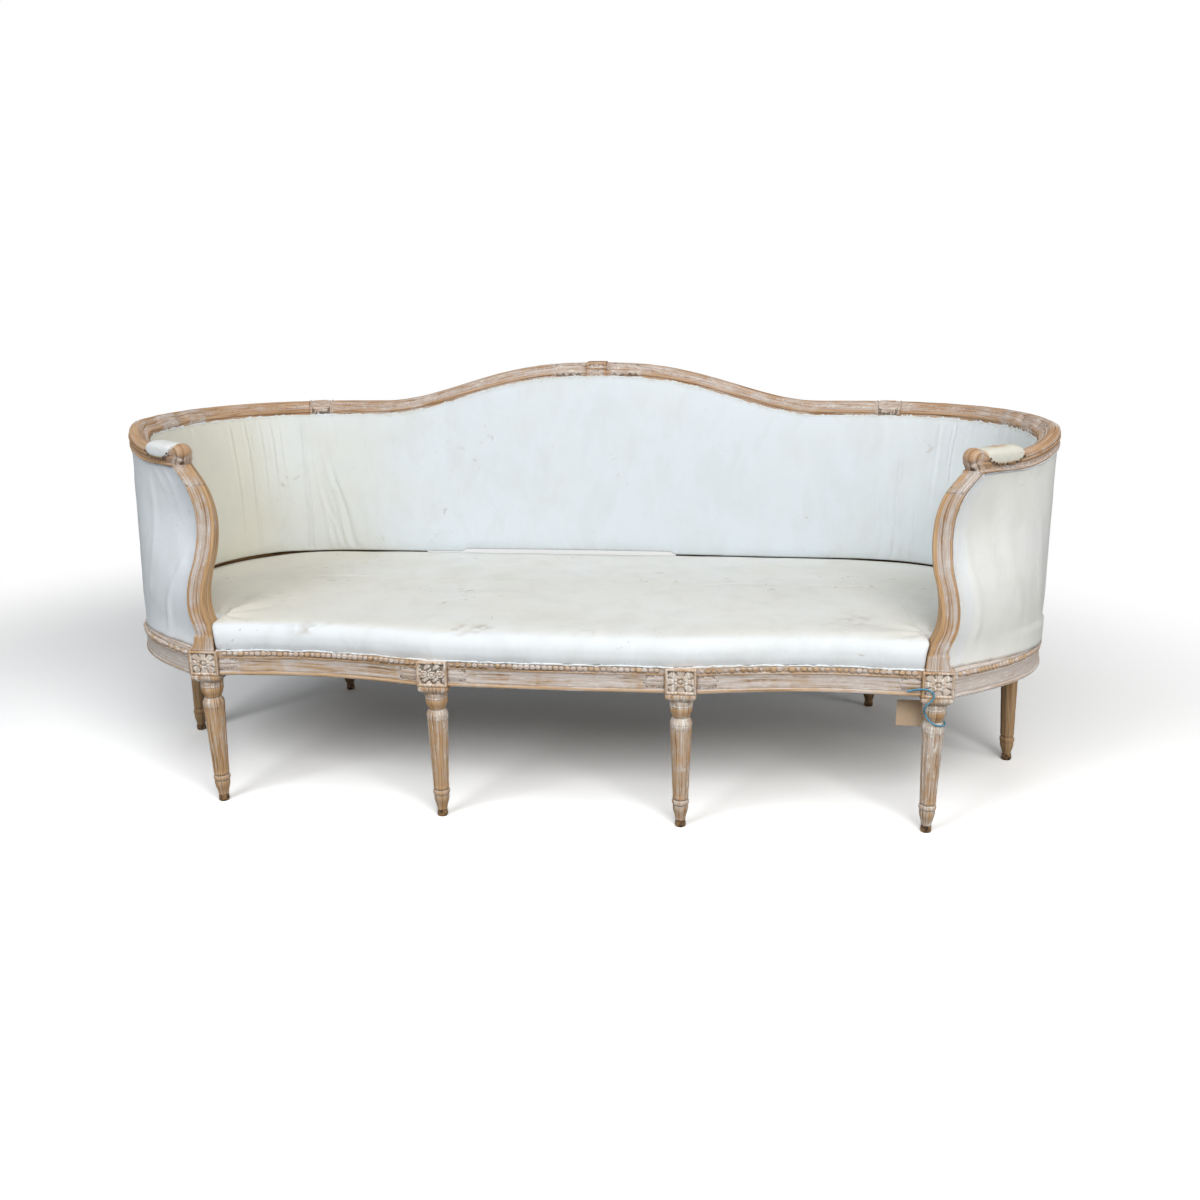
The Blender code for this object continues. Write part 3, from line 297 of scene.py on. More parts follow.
def mixColours(tree, share, a, b, kind="MIX"):
    made = addNode(tree, "Mix", data_type="RGBA", blend_type=kind)
    for socket, value in ((made.inputs[0], share), (made.inputs[6], a), (made.inputs[7], b)):
        if isinstance(value, bpy.types.NodeSocket):
            tree.links.new(value, socket)
        else:
            socket.default_value = value if not hasattr(value, "__len__") else (*value, 1)
    return made.outputs[2]


def mathOf(tree, kind, a, b, clamp=False):
    return addNode(tree, "Math", {0: a, 1: b}, operation=kind, use_clamp=clamp).outputs[0]


def plus(tree, a, b):
    return mathOf(tree, "ADD", a, b)


def times(tree, a, b, clamp=False):
    return mathOf(tree, "MULTIPLY", a, b, clamp)


def paint(tree, shader, colour):
    tree.links.new(colour, shader.inputs["Base Color"])


# 1 for rays that end in the eye: straight from the camera, mirrored or through glass
def seenOf(tree):
    rays = addNode(tree, "LightPath").outputs
    mirrored = mathOf(tree, "MAXIMUM", rays["Is Camera Ray"], rays["Is Glossy Ray"])
    return mathOf(tree, "MAXIMUM", mirrored, rays["Is Transmission Ray"])


def bumpOf(tree, shader, height, strength, distance, under=None):
    inputs = {"Height": height, "Strength": strength, "Distance": distance}
    if under is not None:
        inputs["Normal"] = under
    made = addNode(tree, "Bump", inputs)
    tree.links.new(made.outputs["Normal"], shader.inputs["Normal"])
    return made.outputs["Normal"]


limedLook = {"dark": (0.25, 0.135, 0.06), "bare": (0.50, 0.31, 0.16), "light": (0.61, 0.42, 0.25),
             "pink": (0.53, 0.45, 0.405), "gesso": (0.66, 0.60, 0.56), "chalk": (0.90, 0.87, 0.80),
             "dirt": (0.12, 0.075, 0.045)}
legTones = dict(limedLook, bare=(0.57, 0.345, 0.17), light=(0.72, 0.51, 0.32),
                pink=(0.60, 0.50, 0.43), gesso=(0.74, 0.67, 0.61))
railTones = dict(limedLook, bare=(0.56, 0.38, 0.22), light=(0.66, 0.48, 0.32),
                 pink=(0.59, 0.515, 0.48), gesso=(0.70, 0.645, 0.62))
topTones = dict(limedLook, bare=(0.50, 0.31, 0.18), light=(0.60, 0.42, 0.28), pink=(0.545, 0.45, 0.40))
supportTones = dict(limedLook, pink=(0.47, 0.41, 0.38), gesso=(0.60, 0.565, 0.54))
# noises of the limed wood: scales along and across the grain, detail, distortion
limedGrain = {"fibre": ((12, 620, 1), 5, 0.4), "streak": ((7, 190, 1), 4, 0.9),
              "crease": ((6, 520, 1), 3, 0.6), "pore": ((50, 1400, 1), 2, 0.0)}


# stripped wood with limewash: "run" carries metres along and across the grain, "hollow" goes from 0 on a
# ridge over 0.5 on a flat that keeps its limewash to 1 in a dirty crack, "tone" adds or takes limewash;
# on the front legs the tone by side is painted light, and the knuckle carries a painted highlight on its curl and
# painted shade in its hole
def limedMaterial(name, look, limed, dirty, flecks=0.9, creases=0.4, flake=(55, 420, 1), gather=0.575):
    material, tree, shader = newMaterial(name, 0.78, 0.22)
    run, place = attributeOf(tree, "run", "Vector"), objectPlace(tree)
    hollow, tone = attributeOf(tree, "hollow"), attributeOf(tree, "tone")
    fibre, streak, crease, pore = (grainOf(tree, run, *limedGrain[k]) for k in ("fibre", "streak", "crease", "pore"))
    blotch, patch = noiseOf(tree, place, 34, 5, 0.6), noiseOf(tree, place, 9, 3, 0.3)
    crumb = noiseOf(tree, place, 230, 4)
    both = plus(tree, times(tree, fibre, 0.5), times(tree, streak, 0.5))
    wood = rampOf(tree, both, (0.38, look["dark"]), (0.47, look["bare"]), (0.60, look["light"]))
    level = plus(tree, limed, times(tree, tone, 0.6))
    for value, share, middle in ((hollow, 0.55, 0.0), (streak, 1.9, 0.5), (blotch, 1.2, 0.5), (patch, 0.8, 0.5)):
        level = plus(tree, times(tree, mathOf(tree, "SUBTRACT", value, middle), share), level)
    lime = rampOf(tree, level, (0.18, 0.0), (0.66, 1.0))
    gesso = mixColours(tree, rampOf(tree, level, (0.45, 0.0), (1.05, 1.0)), look["pink"], look["gesso"])
    gesso = mixColours(tree, rampOf(tree, fibre, (0.38, 0.45), (0.5, 0.0)), gesso, look["bare"])
    colour = mixColours(tree, times(tree, lime, 0.92), wood, gesso)
    fleck = rampOf(tree, grainOf(tree, run, flake, 4, 0.5), (gather, 0.0), (gather + 0.05, 1.0))
    fleckShare = times(tree, fleck, rampOf(tree, level, (0.40, 0.0), (0.80, flecks)))
    crack = plus(tree, hollow, times(tree, mathOf(tree, "SUBTRACT", crumb, 0.5), 0.9))
    dirt = times(tree, rampOf(tree, crack, (0.74, 0.0), (1.0, 1.0)), 0.85 * dirty)
    layers = ((fleckShare, "chalk"), (dirt, "dirt"), (rampOf(tree, crease, (0.60, 0.0), (0.68, creases)), "dark"),
              (rampOf(tree, pore, (0.66, 0.0), (0.72, 0.4)), "dark"))
    for share, name in layers:
        colour = mixColours(tree, share, colour, look[name])
    paint(tree, shader, colour)
    relief = plus(tree, times(tree, fibre, 0.5), times(tree, fleckShare, 0.4))
    bumpOf(tree, shader, plus(tree, relief, times(tree, streak, 0.6)), 0.45, 0.0010)
    return material


rawLook = {"dark": (0.16, 0.085, 0.035), "bare": (0.40, 0.235, 0.105), "light": (0.56, 0.38, 0.20)}


# plain wood of the hidden frame: no attribute is needed, the grain runs along one axis
def rawMaterial(name, look, scale):
    material, tree, shader = newMaterial(name, 0.8)
    place = objectPlace(tree)
    grain = grainOf(tree, place, scale, 5, 0.5)
    rings = grainOf(tree, place, [s * 0.2 for s in scale], 3, 0.4)
    colour = rampOf(tree, grain, (0.32, look["dark"]), (0.5, look["bare"]), (0.7, look["light"]))
    colour = mixColours(tree, times(tree, rings, 0.5), colour, look["light"], "MULTIPLY")
    paint(tree, shader, colour)
    bumpOf(tree, shader, grain, 0.4, 0.0006)
    return material


calicoLook = {"cool": (0.725, 0.78, 0.825), "warm": (0.715, 0.70, 0.61), "stain": (0.38, 0.32, 0.235),
              "thread": (0.58, 0.58, 0.54), "clouds": 0.75, "weave": 0.0009}
outerLook = dict(calicoLook, cool=(0.82, 0.865, 0.915), warm=(0.80, 0.785, 0.71), clouds=0.6)
seatLook = dict(calicoLook, cool=(0.86, 0.90, 0.93), warm=(0.77, 0.745, 0.665), clouds=0.8)
padLook = dict(calicoLook, cool=(0.70, 0.71, 0.64), warm=(0.74, 0.695, 0.56), stain=(0.56, 0.34, 0.18))


# plain weave of undyed cotton: fine threads, slubs both ways, warm and cool clouds, and a few marks;
# "tone" goes from 0, washed and bluish, to 1, yellowish and darker; on the top of the seat and at the left end of the
# inside cover it is partly painted shade
def calicoMaterial(name, look, marks):
    material, tree, shader = newMaterial(name, 0.95, 0.12)
    shader.inputs["Sheen Weight"].default_value = 0.1
    shader.inputs["Sheen Roughness"].default_value = 0.5
    run, place = attributeOf(tree, "run", "Vector"), objectPlace(tree)
    hollow, tone = attributeOf(tree, "hollow"), attributeOf(tree, "tone")
    clouds = times(tree, mathOf(tree, "SUBTRACT", noiseOf(tree, place, 4.5, 5, 0.4), 0.5), look["clouds"])
    warmth = rampOf(tree, plus(tree, tone, clouds), (0.0, 0.0), (1.0, 1.0))
    colour = mixColours(tree, warmth, look["cool"], look["warm"])
    dusk = noiseOf(tree, stretched(tree, place, (1, 1, 0.55)), 15, 4, 0.5)
    slub = plus(tree, grainOf(tree, run, (18, 700, 1), 3), grainOf(tree, run, (700, 18, 1), 3))
    spots = rampOf(tree, noiseOf(tree, place, 46, 4, 0.8), (0.64, 0.0), (0.72, 1.0))
    where = rampOf(tree, noiseOf(tree, place, 6, 2), (0.55, 0.0), (0.66, 1.0))
    # darkening towards the stain colour where hollow is high: the marks and stains, and the darker bands along the
    # covers' edges
    darkening = times(tree, hollow, plus(tree, noiseOf(tree, place, 70, 3), 0.30), clamp=True)
    layers = ((rampOf(tree, dusk, (0.46, 0.0), (0.66, 0.16)), "thread"),
              (rampOf(tree, times(tree, slub, 0.5), (0.54, 0.0), (0.64, 0.12)), "thread"),
              (times(tree, spots, times(tree, where, marks)), "stain"), (times(tree, darkening, 0.9), "stain"))
    for share, name in layers:
        colour = mixColours(tree, share, colour, look[name])
    paint(tree, shader, colour)
    threads = threadsOf(tree, run, scale=0.314 / look["weave"], distortion=0.6)
    under = bumpOf(tree, shader, plus(tree, *threads), 0.2, 0.0001)
    under = bumpOf(tree, shader, slub, 0.25, 0.0004, under)
    rumple = noiseOf(tree, stretched(tree, place, (1, 1, 0.6)), 21, 3, 0.8)
    bumpOf(tree, shader, rumple, 0.35, 0.006, under)
    return material


def metalMaterial(name):
    material, tree, shader = newMaterial(name, 0.45, 0.5)
    shader.inputs["Metallic"].default_value = 0.7
    patina = noiseOf(tree, objectPlace(tree), 120, 4)
    paint(tree, shader, rampOf(tree, patina, (0.35, (0.03, 0.018, 0.01)), (0.65, (0.24, 0.14, 0.06))))
    bumpOf(tree, shader, patina, 0.4, 0.0008)
    return material


def webbingMaterial(name):
    material, tree, shader = newMaterial(name, 0.95, 0.1)
    weave = times(tree, *threadsOf(tree, objectPlace(tree), scale=160.0, distortion=1.2, detail=2.0))
    paint(tree, shader, rampOf(tree, weave, (0.1, (0.22, 0.16, 0.09)), (0.8, (0.52, 0.42, 0.27))))
    bumpOf(tree, shader, weave, 0.6, 0.0012)
    return material


def paperMaterial(name):
    material, tree, shader = newMaterial(name, 0.85, 0.2)
    place = objectPlace(tree)
    fibre = noiseOf(tree, place, 260, 4)
    clouds = noiseOf(tree, place, 30, 3)
    colour = rampOf(tree, clouds, (0.3, (0.70, 0.50, 0.33)), (0.7, (0.78, 0.60, 0.43)))
    colour = mixColours(tree, 0.15, colour, rampOf(tree, fibre, (0.3, 0.5), (0.6, 1.0)), "MULTIPLY")
    paint(tree, shader, colour)
    bumpOf(tree, shader, fibre, 0.25, 0.0003)
    return material


def cottonStringMaterial(name):
    material, tree, shader = newMaterial(name, 0.9, 0.15)
    run = attributeOf(tree, "run", "Vector")
    fuzz = grainOf(tree, run, (500, 900, 1), 3)
    paint(tree, shader, rampOf(tree, fuzz, (0.3, (0.07, 0.22, 0.34)), (0.7, (0.20, 0.44, 0.58))))
    bumpOf(tree, shader, fuzz, 0.5, 0.0005)
    return material


finishes = {
    "frame": limedMaterial("limed wood", supportTones, 0.20, 1.0, 0.45, 0.6),
    "legs": limedMaterial("limed wood of the legs", legTones, 0.24, 1.0, 1.3, 0.30, (38, 210, 1), 0.56),
    "rails": limedMaterial("limed wood of the seat rails", railTones, 0.36, 1.0, 0.6, 0.45),
    "top": limedMaterial("limed wood of the top rail", topTones, 0.08, 1.0, 0.7, 0.8),
    "rear": limedMaterial("worn wood of the rear legs", limedLook, -0.8, 0.8),
    "raw": rawMaterial("hidden frame wood", rawLook, (14, 14, 220)),
    "calico": calicoMaterial("calico", calicoLook, 0.35),
    "outer": calicoMaterial("calico of the outside", outerLook, 0.4),
    "seat": calicoMaterial("calico of the seat", seatLook, 0.8),
    "pad": calicoMaterial("calico of the arm pads", padLook, 0.5),
    "metal": metalMaterial("glide metal"),
    "webbing": webbingMaterial("jute webbing"),
    "paper": paperMaterial("tag paper"),
    "string": cottonStringMaterial("blue cotton"),
}
print("materials made:", len(finishes))


# ---------- outlines of the frame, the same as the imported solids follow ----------

outline = {"depth": 0.82, "railBottom": 0.315, "railTop": 0.371, "topLevel": 0.842,
           "topRailHeight": 0.038, "topRailDepth": 0.045, "crestRise": 0.098, "crestHalf": 0.58,
           "crestFullness": 1.3, "armDrop": 0.042, "dropStart": 2.06, "dropEnd": 2.72,
           "cornerStartX": 0.62, "sideY": -0.06, "backBow": 0.012, "cornerPower": 2.4,
           "block": 0.066, "cornerLegX": 0.792, "cornerLegY": -0.351, "middleLegX": 0.266, "middleLegY": -0.377,
           "railInset": 0.006, "railThickness": 0.042, "frontHollow": 0.022, "frontBow": -0.004}
seatPlan = {"sideX": 1.06, "backY": 0.365, "end": (0.825, -0.378), "angle": math.radians(32),
            "sideHandle": 0.15, "endHandle": 0.15}
topPlan = {"sideX": 1.065, "backY": 0.385, "end": (0.865, -0.272), "angle": math.radians(37),
           "sideHandle": 0.10, "endHandle": 0.10}


# half an outline: a cosine bow at the back, a quarter superellipse round the corner, a cubic along the side
def planPoint(plan, u):
    u = np.asarray(u, float)
    o = outline
    bow = o["backBow"] * np.cos(np.pi / 2 * np.clip(u, 0, 1)) ** 2
    back = np.stack([o["cornerStartX"] * u, plan["backY"] + bow], -1)
    angle = (np.clip(u, 1, 2) - 1) * np.pi / 2
    across = np.sin(angle) ** (2 / o["cornerPower"])
    along = np.maximum(np.cos(angle), 0) ** (2 / o["cornerPower"])
    corner = np.stack([mix(o["cornerStartX"], plan["sideX"], across), mix(o["sideY"], plan["backY"], along)], -1)
    t = np.clip(u - 2, 0, 1)[..., None]
    start, end = np.array((plan["sideX"], o["sideY"])), np.array(plan["end"])
    heading = np.array((-math.cos(plan["angle"]), -math.sin(plan["angle"])))
    second, third = start - (0, plan["sideHandle"]), end - heading * plan["endHandle"]
    side = start * (1 - t) ** 3 + second * 3 * t * (1 - t) ** 2 + third * 3 * t * t * (1 - t) + end * t ** 3
    u = u[..., None]
    return np.where(u <= 1, back, np.where(u <= 2, corner, side))


def cornerU(plan, x=None, y=None):
    o = outline
    power = o["cornerPower"] / 2
    if x is not None:
        return 1 + math.asin(((x - o["cornerStartX"]) / (plan["sideX"] - o["cornerStartX"])) ** power) / (math.pi / 2)
    return 1 + math.acos(((y - o["sideY"]) / (plan["backY"] - o["sideY"])) ** power) / (math.pi / 2)


seatPlan["stops"] = (0, cornerU(seatPlan, x=0.738), cornerU(seatPlan, y=0.06), 3)
topPlan["stops"] = (0, cornerU(topPlan, x=0.786), cornerU(topPlan, y=0.09), 3)


# stations: 0 at the middle of the back, 1 at the back stile, 2 at the side stile, 3 at the arm support
def stationPoint(plan, station):
    return planPoint(plan, np.interp(station, (0, 1, 2, 3), plan["stops"]))


def seatLine(station):
    return stationPoint(seatPlan, station)


def topLine(station):
    return stationPoint(topPlan, station)


# direction of travel and inward normal on a line's right half, from points just before and after
def headingOf(line, size, nudge=0.001):
    travel = line(np.minimum(size + nudge, 3)) - line(np.maximum(size - nudge, 0))
    travel = travel / np.linalg.norm(travel, axis=-1, keepdims=True)
    return travel, np.stack([travel[..., 1], -travel[..., 0]], -1)


# point, direction of travel and inward normal on a line; negative stations are on the left half
def runFrame(line, station):
    station = np.asarray(station, float)
    size = np.abs(station)
    travel, inward = headingOf(line, size)
    hand = np.where(station < 0, -1.0, 1.0)[..., None]
    flip = np.concatenate([hand, np.ones_like(hand)], -1)
    return line(size) * flip, travel * flip * hand, inward * flip


# stations a set distance apart along a line, and how far along it each of them lies
def evenStations(line, start, end, spacing):
    fine = np.linspace(start, end, 4001)
    length = pathLength(runFrame(line, fine)[0])
    count = max(int(round(length[-1] / spacing)), 2)
    distance = np.linspace(0, length[-1], count + 1)
    return np.interp(distance, length, fine), distance


def topHeight(station):
    o = outline
    s = np.abs(station)
    share = np.minimum(topLine(s)[..., 0] / o["crestHalf"], 1) ** o["crestFullness"]
    hump = o["topLevel"] + o["crestRise"] * (1 + np.cos(np.pi * share)) / 2
    drop = o["topLevel"] - o["armDrop"] * ease((s - o["dropStart"]) / (o["dropEnd"] - o["dropStart"]))
    return np.where(s <= 1, hump, drop)


underArm = outline["topLevel"] - outline["armDrop"] - outline["topRailHeight"]
armHeading = np.array((-math.cos(topPlan["angle"]), -math.sin(topPlan["angle"])))
armInward = np.array((armHeading[1], -armHeading[0]))
armEnd = np.array(topPlan["end"])
support = {"width": 0.046, "depth": 0.046, "turnShare": 0.5, "footOut": -0.0035, "knuckle": 0.025,
           "rise": (0, .1, .2, .3, .4, .5, .6, .7, .8, .9, 1),
           "out": (0, .05, .279, .337, .271, .155, .122, .147, .238, .47, .95),
           "back": (0, .09, .2, .28, .36, .48, .62, .72, .76, .82, 1),
           "turn": (0, 0, .05, .12, .2, .32, .45, .58, .72, .88, 1)}
supportFoot = np.array((outline["cornerLegX"] + support["footOut"],
                        outline["cornerLegY"] - outline["block"] / 2 + support["depth"] / 2 + outline["railInset"]))
supportHead = armEnd + armInward * outline["topRailDepth"] / 2 - armHeading * support["knuckle"] / 2
supportTurn = (topPlan["angle"] - math.pi / 2) * support["turnShare"]


# a smooth curve through a table's rows: cubic pieces that leave each row at its neighbours' slope
def smoothTable(key, keys, values):
    keys, values = np.asarray(keys, float), np.asarray(values, float)
    slope = np.gradient(values, keys)
    i = np.clip(np.searchsorted(keys, key) - 1, 0, len(keys) - 2)
    step = keys[i + 1] - keys[i]
    t = (key - keys[i]) / step
    return ((2 * t ** 3 - 3 * t ** 2 + 1) * values[i] + (t ** 3 - 2 * t ** 2 + t) * step * slope[i]
            + (3 * t ** 2 - 2 * t ** 3) * values[i + 1] + (t ** 3 - t ** 2) * step * slope[i + 1])


# centre of the arm support at a share of its height, with the directions of its side and back
def supportFrame(share):
    share = np.clip(np.asarray(share, float), 0, 1)
    out, back, turned = (smoothTable(share, support["rise"], support[k]) for k in ("out", "back", "turn"))
    angle = supportTurn * turned
    centre = np.stack([mix(supportFoot[0], supportHead[0], out), mix(supportFoot[1], supportHead[1], back)], -1)
    return centre, np.stack([np.cos(angle), np.sin(angle)], -1), np.stack([-np.sin(angle), np.cos(angle)], -1)


# the tub's outer skin between the two outlines, bent at the front so that it ends inside the support
def shellLine(station, share):
    s = np.abs(station)
    point = mix(seatLine(s), topLine(s), share[..., None])
    weight = ease((s - 2.3) / 0.7)[..., None]
    centre, across, back = supportFrame(share)
    end = centre + across * support["width"] * 0.35 - back * support["depth"] * 0.25
    return point + (end - mix(seatLine(np.array(3.0)), topLine(np.array(3.0)), share[..., None])) * weight


# skin frame at stations and heights (arrays of one shape)
def skinFrame(station, z):
    size = np.abs(station)
    share = (z - outline["railTop"]) / (topHeight(size) - outline["topRailHeight"] - outline["railTop"])
    inward = headingOf(lambda s: shellLine(s, share), size)[1]
    flip = np.stack([np.where(station < 0, -1.0, 1.0), np.ones_like(z)], -1)
    return shellLine(size, share) * flip, inward * flip


# ---------- carving: heights from 0 to 1 over a patch whose x and y run from -1 to 1 ----------

# a flower of two rings of eight petals round a boss, the outer ring drawn out to the corners of the square
def rosetteRelief(x, y):
    r, square, a = np.hypot(x, y), (np.abs(x) ** 4 + np.abs(y) ** 4) ** 0.25, np.arctan2(y, x)
    inner = np.abs(np.mod(a * 4 / np.pi, 1) * 2 - 1)
    outer = np.abs(np.mod(a * 4 / np.pi + 0.5, 1) * 2 - 1)
    gap = [1 - (1 - np.clip(q * 1.5, 0, 1)) ** 3 for q in (1 - inner, 1 - outer)]
    first = gap[0] * np.clip((0.58 - r) / 0.10, 0, 1) ** 0.4 * (1.0 - 0.35 * np.abs(r - 0.38) / 0.2)
    second = gap[1] * np.clip((0.97 - square) / 0.12, 0, 1) ** 0.5 * (0.78 - 0.30 * square)
    second = second * (1 - 0.3 * bell((1 - outer) / 0.12))
    boss = 0.95 * np.sqrt(np.clip(1 - (r / 0.19) ** 2, 0, 1))
    ring = 1 - bell((r - 0.22) / 0.035)
    return np.maximum(np.maximum(first, second) * ring, boss)


# three round flowers in a row over a ground of short leaves
def flowerRelief(x, y):
    bend = x * 4.4 + 0.5 * np.sin(y * 6)
    total = 0.62 * (1 - np.abs(np.sin(bend + 2.6 * y)) ** 6) * (1 - np.abs(np.sin(bend - 3.1 * y + 0.8)) ** 8)
    for cx, cy, size in ((-0.60, -0.02, 0.36), (0.0, -0.10, 0.35), (0.60, 0.0, 0.36)):
        r, a = np.hypot(x - cx, y - cy) / size, np.arctan2(y - cy, x - cx)
        petals = np.clip((0.95 + 0.05 * np.cos(6 * a) - r) / 0.12, 0, 1) ** 0.5 * (0.72 + 0.12 * np.cos(6 * a))
        flower = petals * (1 - 0.7 * bell((r - 0.48) / 0.09))
        flower = np.maximum(flower, 0.95 * np.sqrt(np.clip(1 - (r / 0.34) ** 2, 0, 1)))
        total = np.where(r < 1.08, flower, total)
    return total


# a leaf that grows along x from 0 to 1, y across from -1 to 1: lobed edge, sunk midrib, slanted side veins
def leafRelief(x, y, lobes):
    inside = np.sin(np.pi * np.clip(x, 0, 1) ** 0.75) ** 0.55
    edge = inside * (0.84 + 0.16 * np.cos(2 * np.pi * lobes * (x - 0.12)))
    body = np.clip(1 - (np.abs(y) / np.maximum(edge, 1e-3)) ** 4, 0, 1)
    veins = 0.72 + 0.28 * np.cos(2 * np.pi * (lobes * 2) * (x - 0.45 * np.abs(y)))
    rib = 1 - 0.55 * bell(y / 0.09)
    return np.where((x > 0) & (x < 1), body * veins * rib, 0)


# ---------- legs ----------

frontLeg = {"radius": 0.0255, "flutes": 12, "fluteDepth": 0.0013, "fluteTop": 0.2330, "fluteFoot": 0.0715,
            "overlap": 0.0005, "abacus": 0.0185, "reliefDepth": 0.0055, "border": 0.88,
            # painted light: the right front legs take more limewash and the left ones less, so that the right ones look
            # lit and the left ones shaded
            "limed": {"left": -0.30, "right": 0.30},
            "tones": ((0.0, 0.2), (0.05, 0.1), (0.062, 0.5), (0.075, -0.1), (0.225, 0.0), (0.24, 0.7), (0.255, 0.6),
                      (0.258, -0.3), (0.278, -0.3), (0.284, 0.6), (0.30, 0.6)),
            "profile": ((.2985, .96), (.2968, .98), (.2940, .995), (.2900, .99), (.2868, .97), (.2852, .93),
                        (.2840, .985), (.2822, .985), (.2812, .94), (.2795, .965), (.2760, .97), (.2715, .945),
                        (.2670, .88), (.2640, .82), (.2632, .79), (.2622, .80), (.2590, .745), (.2570, .705),
                        (.2560, .70), (.2548, .73), (.2535, .74), (.2515, .79), (.2480, .87), (.2450, .915),
                        (.2420, .935), (.2400, .93), (.2392, .89), (.2384, .93), (.2360, .92), (.0700, .67),
                        (.0675, .665), (.0668, .61), (.0648, .60), (.0640, .68), (.0615, .725), (.0580, .735),
                        (.0550, .72), (.0535, .65), (.0522, .64), (.0505, .655), (.0460, .665), (.0420, .655),
                        (.0360, .60), (.0290, .52), (.0230, .465), (.0190, .45), (.0168, .44))}
rearLeg = {"radius": 0.022, "flutes": 10, "fluteDepth": 0.0007, "fluteTop": 0.262, "fluteFoot": 0.068,
           "block": 0.055, "splay": 0.014,
           "tones": ((0.0, 0.1), (0.046, 0.2), (0.052, 1.3), (0.060, 0.9), (0.066, 0.0), (0.3, 0.1)),
           "profile": ((.3145, .95), (.301, .95), (.2995, .82), (.297, .80), (.295, .90), (.291, .965), (.285, .96),
                       (.279, .84), (.277, .78), (.275, .92), (.272, .95), (.0650, .72), (.0640, .66), (.0605, .66),
                       (.0590, .75), (.0550, .79), (.0500, .77), (.0475, .70), (.0440, .72), (.0380, .71), (.0300, .62),
                       (.0230, .52), (.0180, .48), (.0168, .45))}


# turned surface: the radius is read from the profile and hollowed by flutes over a stretch of the shaft
def turnedShaft(leg, splay, seed, limed=0.0):
    z, r = np.array(leg["profile"])[:, 0], np.array(leg["profile"])[:, 1] * leg["radius"]
    length = pathLength(np.column_stack([z, r]))
    fine = [np.linspace(a, b, max(2, int((b - a) / 0.0011) + 1), endpoint=False) for a, b in zip(length, length[1:])]
    fine = np.append(np.concatenate(fine), length[-1])
    rowZ, rowR = np.interp(fine, length, z), np.interp(fine, length, r)
    kernel = np.array((1, 2, 1)) / 4
    for _ in range(2):
        rowR[1:-1] = np.convolve(rowR, kernel, "same")[1:-1]
    columns = leg["flutes"] * 12
    angle = np.arange(columns) / columns * 2 * np.pi
    phase = np.abs(np.mod(angle / (2 * np.pi) * leg["flutes"], 1) * 2 - 1)
    cup = np.sqrt(1 - np.clip(phase / 0.84, 0, 1) ** 2)
    zz = rowZ[:, None]
    endRound = 0.006 * (1 - cup)[None, :]
    window = ease((leg["fluteTop"] - zz - endRound) / 0.003) * ease((zz - leg["fluteFoot"] - endRound) / 0.003)
    cut = window * cup[None, :]
    radius = rowR[:, None] - leg["fluteDepth"] * cut
    x, y = np.cos(angle)[None, :], np.sin(angle)[None, :]
    wear = rough(np.stack(np.broadcast_arrays(x * 0.03, y * 0.03, zz), -1), 0.012, seed)
    radius = radius + (0.00022 + 0.0003 * ease((rowZ - 0.24) / 0.02)[:, None]) * wear
    shift = -splay * (1 - rowZ / outline["railBottom"])[:, None]
    points = np.stack(np.broadcast_arrays(radius * x, radius * y + shift, zz), -1)
    groove = np.interp(fine - 0.003, fine, rowR) + np.interp(fine + 0.003, fine, rowR) - 2 * rowR
    groove = np.clip(groove * 500, 0, 1)[:, None]
    edge = bell((phase - 0.86) / 0.06)[None, :]
    hollow = np.clip(cut * 0.34 + 0.42 * edge * window + groove, 0, 1)
    run = np.stack(np.broadcast_arrays(zz, angle[None, :] * 0.022, seed), -1)
    # limed shifts the whole shaft's limewash; on the front legs it is painted light, paler on the right and darker on
    # the left
    tone = np.interp(rowZ, *np.array(leg["tones"]).T)[:, None] + limed + 0 * hollow
    return closedShell(points, run, hollow, tone)


# square block: a four-sided tube whose sides are cut back by a carved height, between raised borders
def carvedBlock(half, low, high, reliefs, depth, border, seed, perSide=56, rows=48):
    t = np.arange(4 * perSide) / perSide
    side, share = np.floor(t).astype(int), np.mod(t, 1) * 2 - 1
    v = np.linspace(-1, 1, rows)
    x, y = np.broadcast_arrays(share[None, :], v[:, None])
    cut = np.zeros_like(x)
    for index, relief in enumerate(reliefs):
        if relief is None:
            continue
        sx, sy = x / border, y / border
        field = ease((0.97 - np.maximum(np.abs(sx), np.abs(sy))) / 0.06)
        cut = np.where((side == index)[None, :], field * (1 - relief(sx, sy)), cut)
    soft = np.clip((np.abs(x) - 0.955) / 0.045, 0, 1) ** 2 + np.clip((np.abs(y) - 0.96) / 0.04, 0, 1) ** 2
    offset = half - depth * cut - 0.0011 * soft
    directions = np.array(((0, -1), (1, 0), (0, 1), (-1, 0)))
    tangents = np.array(((1, 0), (0, 1), (-1, 0), (0, -1)))
    edge = half - 0.0011 * np.clip((np.abs(y) - 0.96) / 0.04, 0, 1) ** 2
    plan = directions[side][None] * offset[..., None] + tangents[side][None] * (x * edge)[..., None]
    z = mix(low, high, (y + 1) / 2)
    points = np.concatenate([plan, z[..., None]], -1)
    outward = np.concatenate([directions[side][None] + 0 * plan, 0 * z[..., None]], -1)
    points = points + 0.0005 * rough(points, 0.007, seed)[..., None] * outward
    run = np.stack([z, t[None, :] * half * 2 + 0 * z, 0 * z + seed], -1)
    return closedShell(points, run, np.clip(cut * 1.35 - 0.1, 0.2, 1), 0.5 * (cut > 0) + 0 * x)


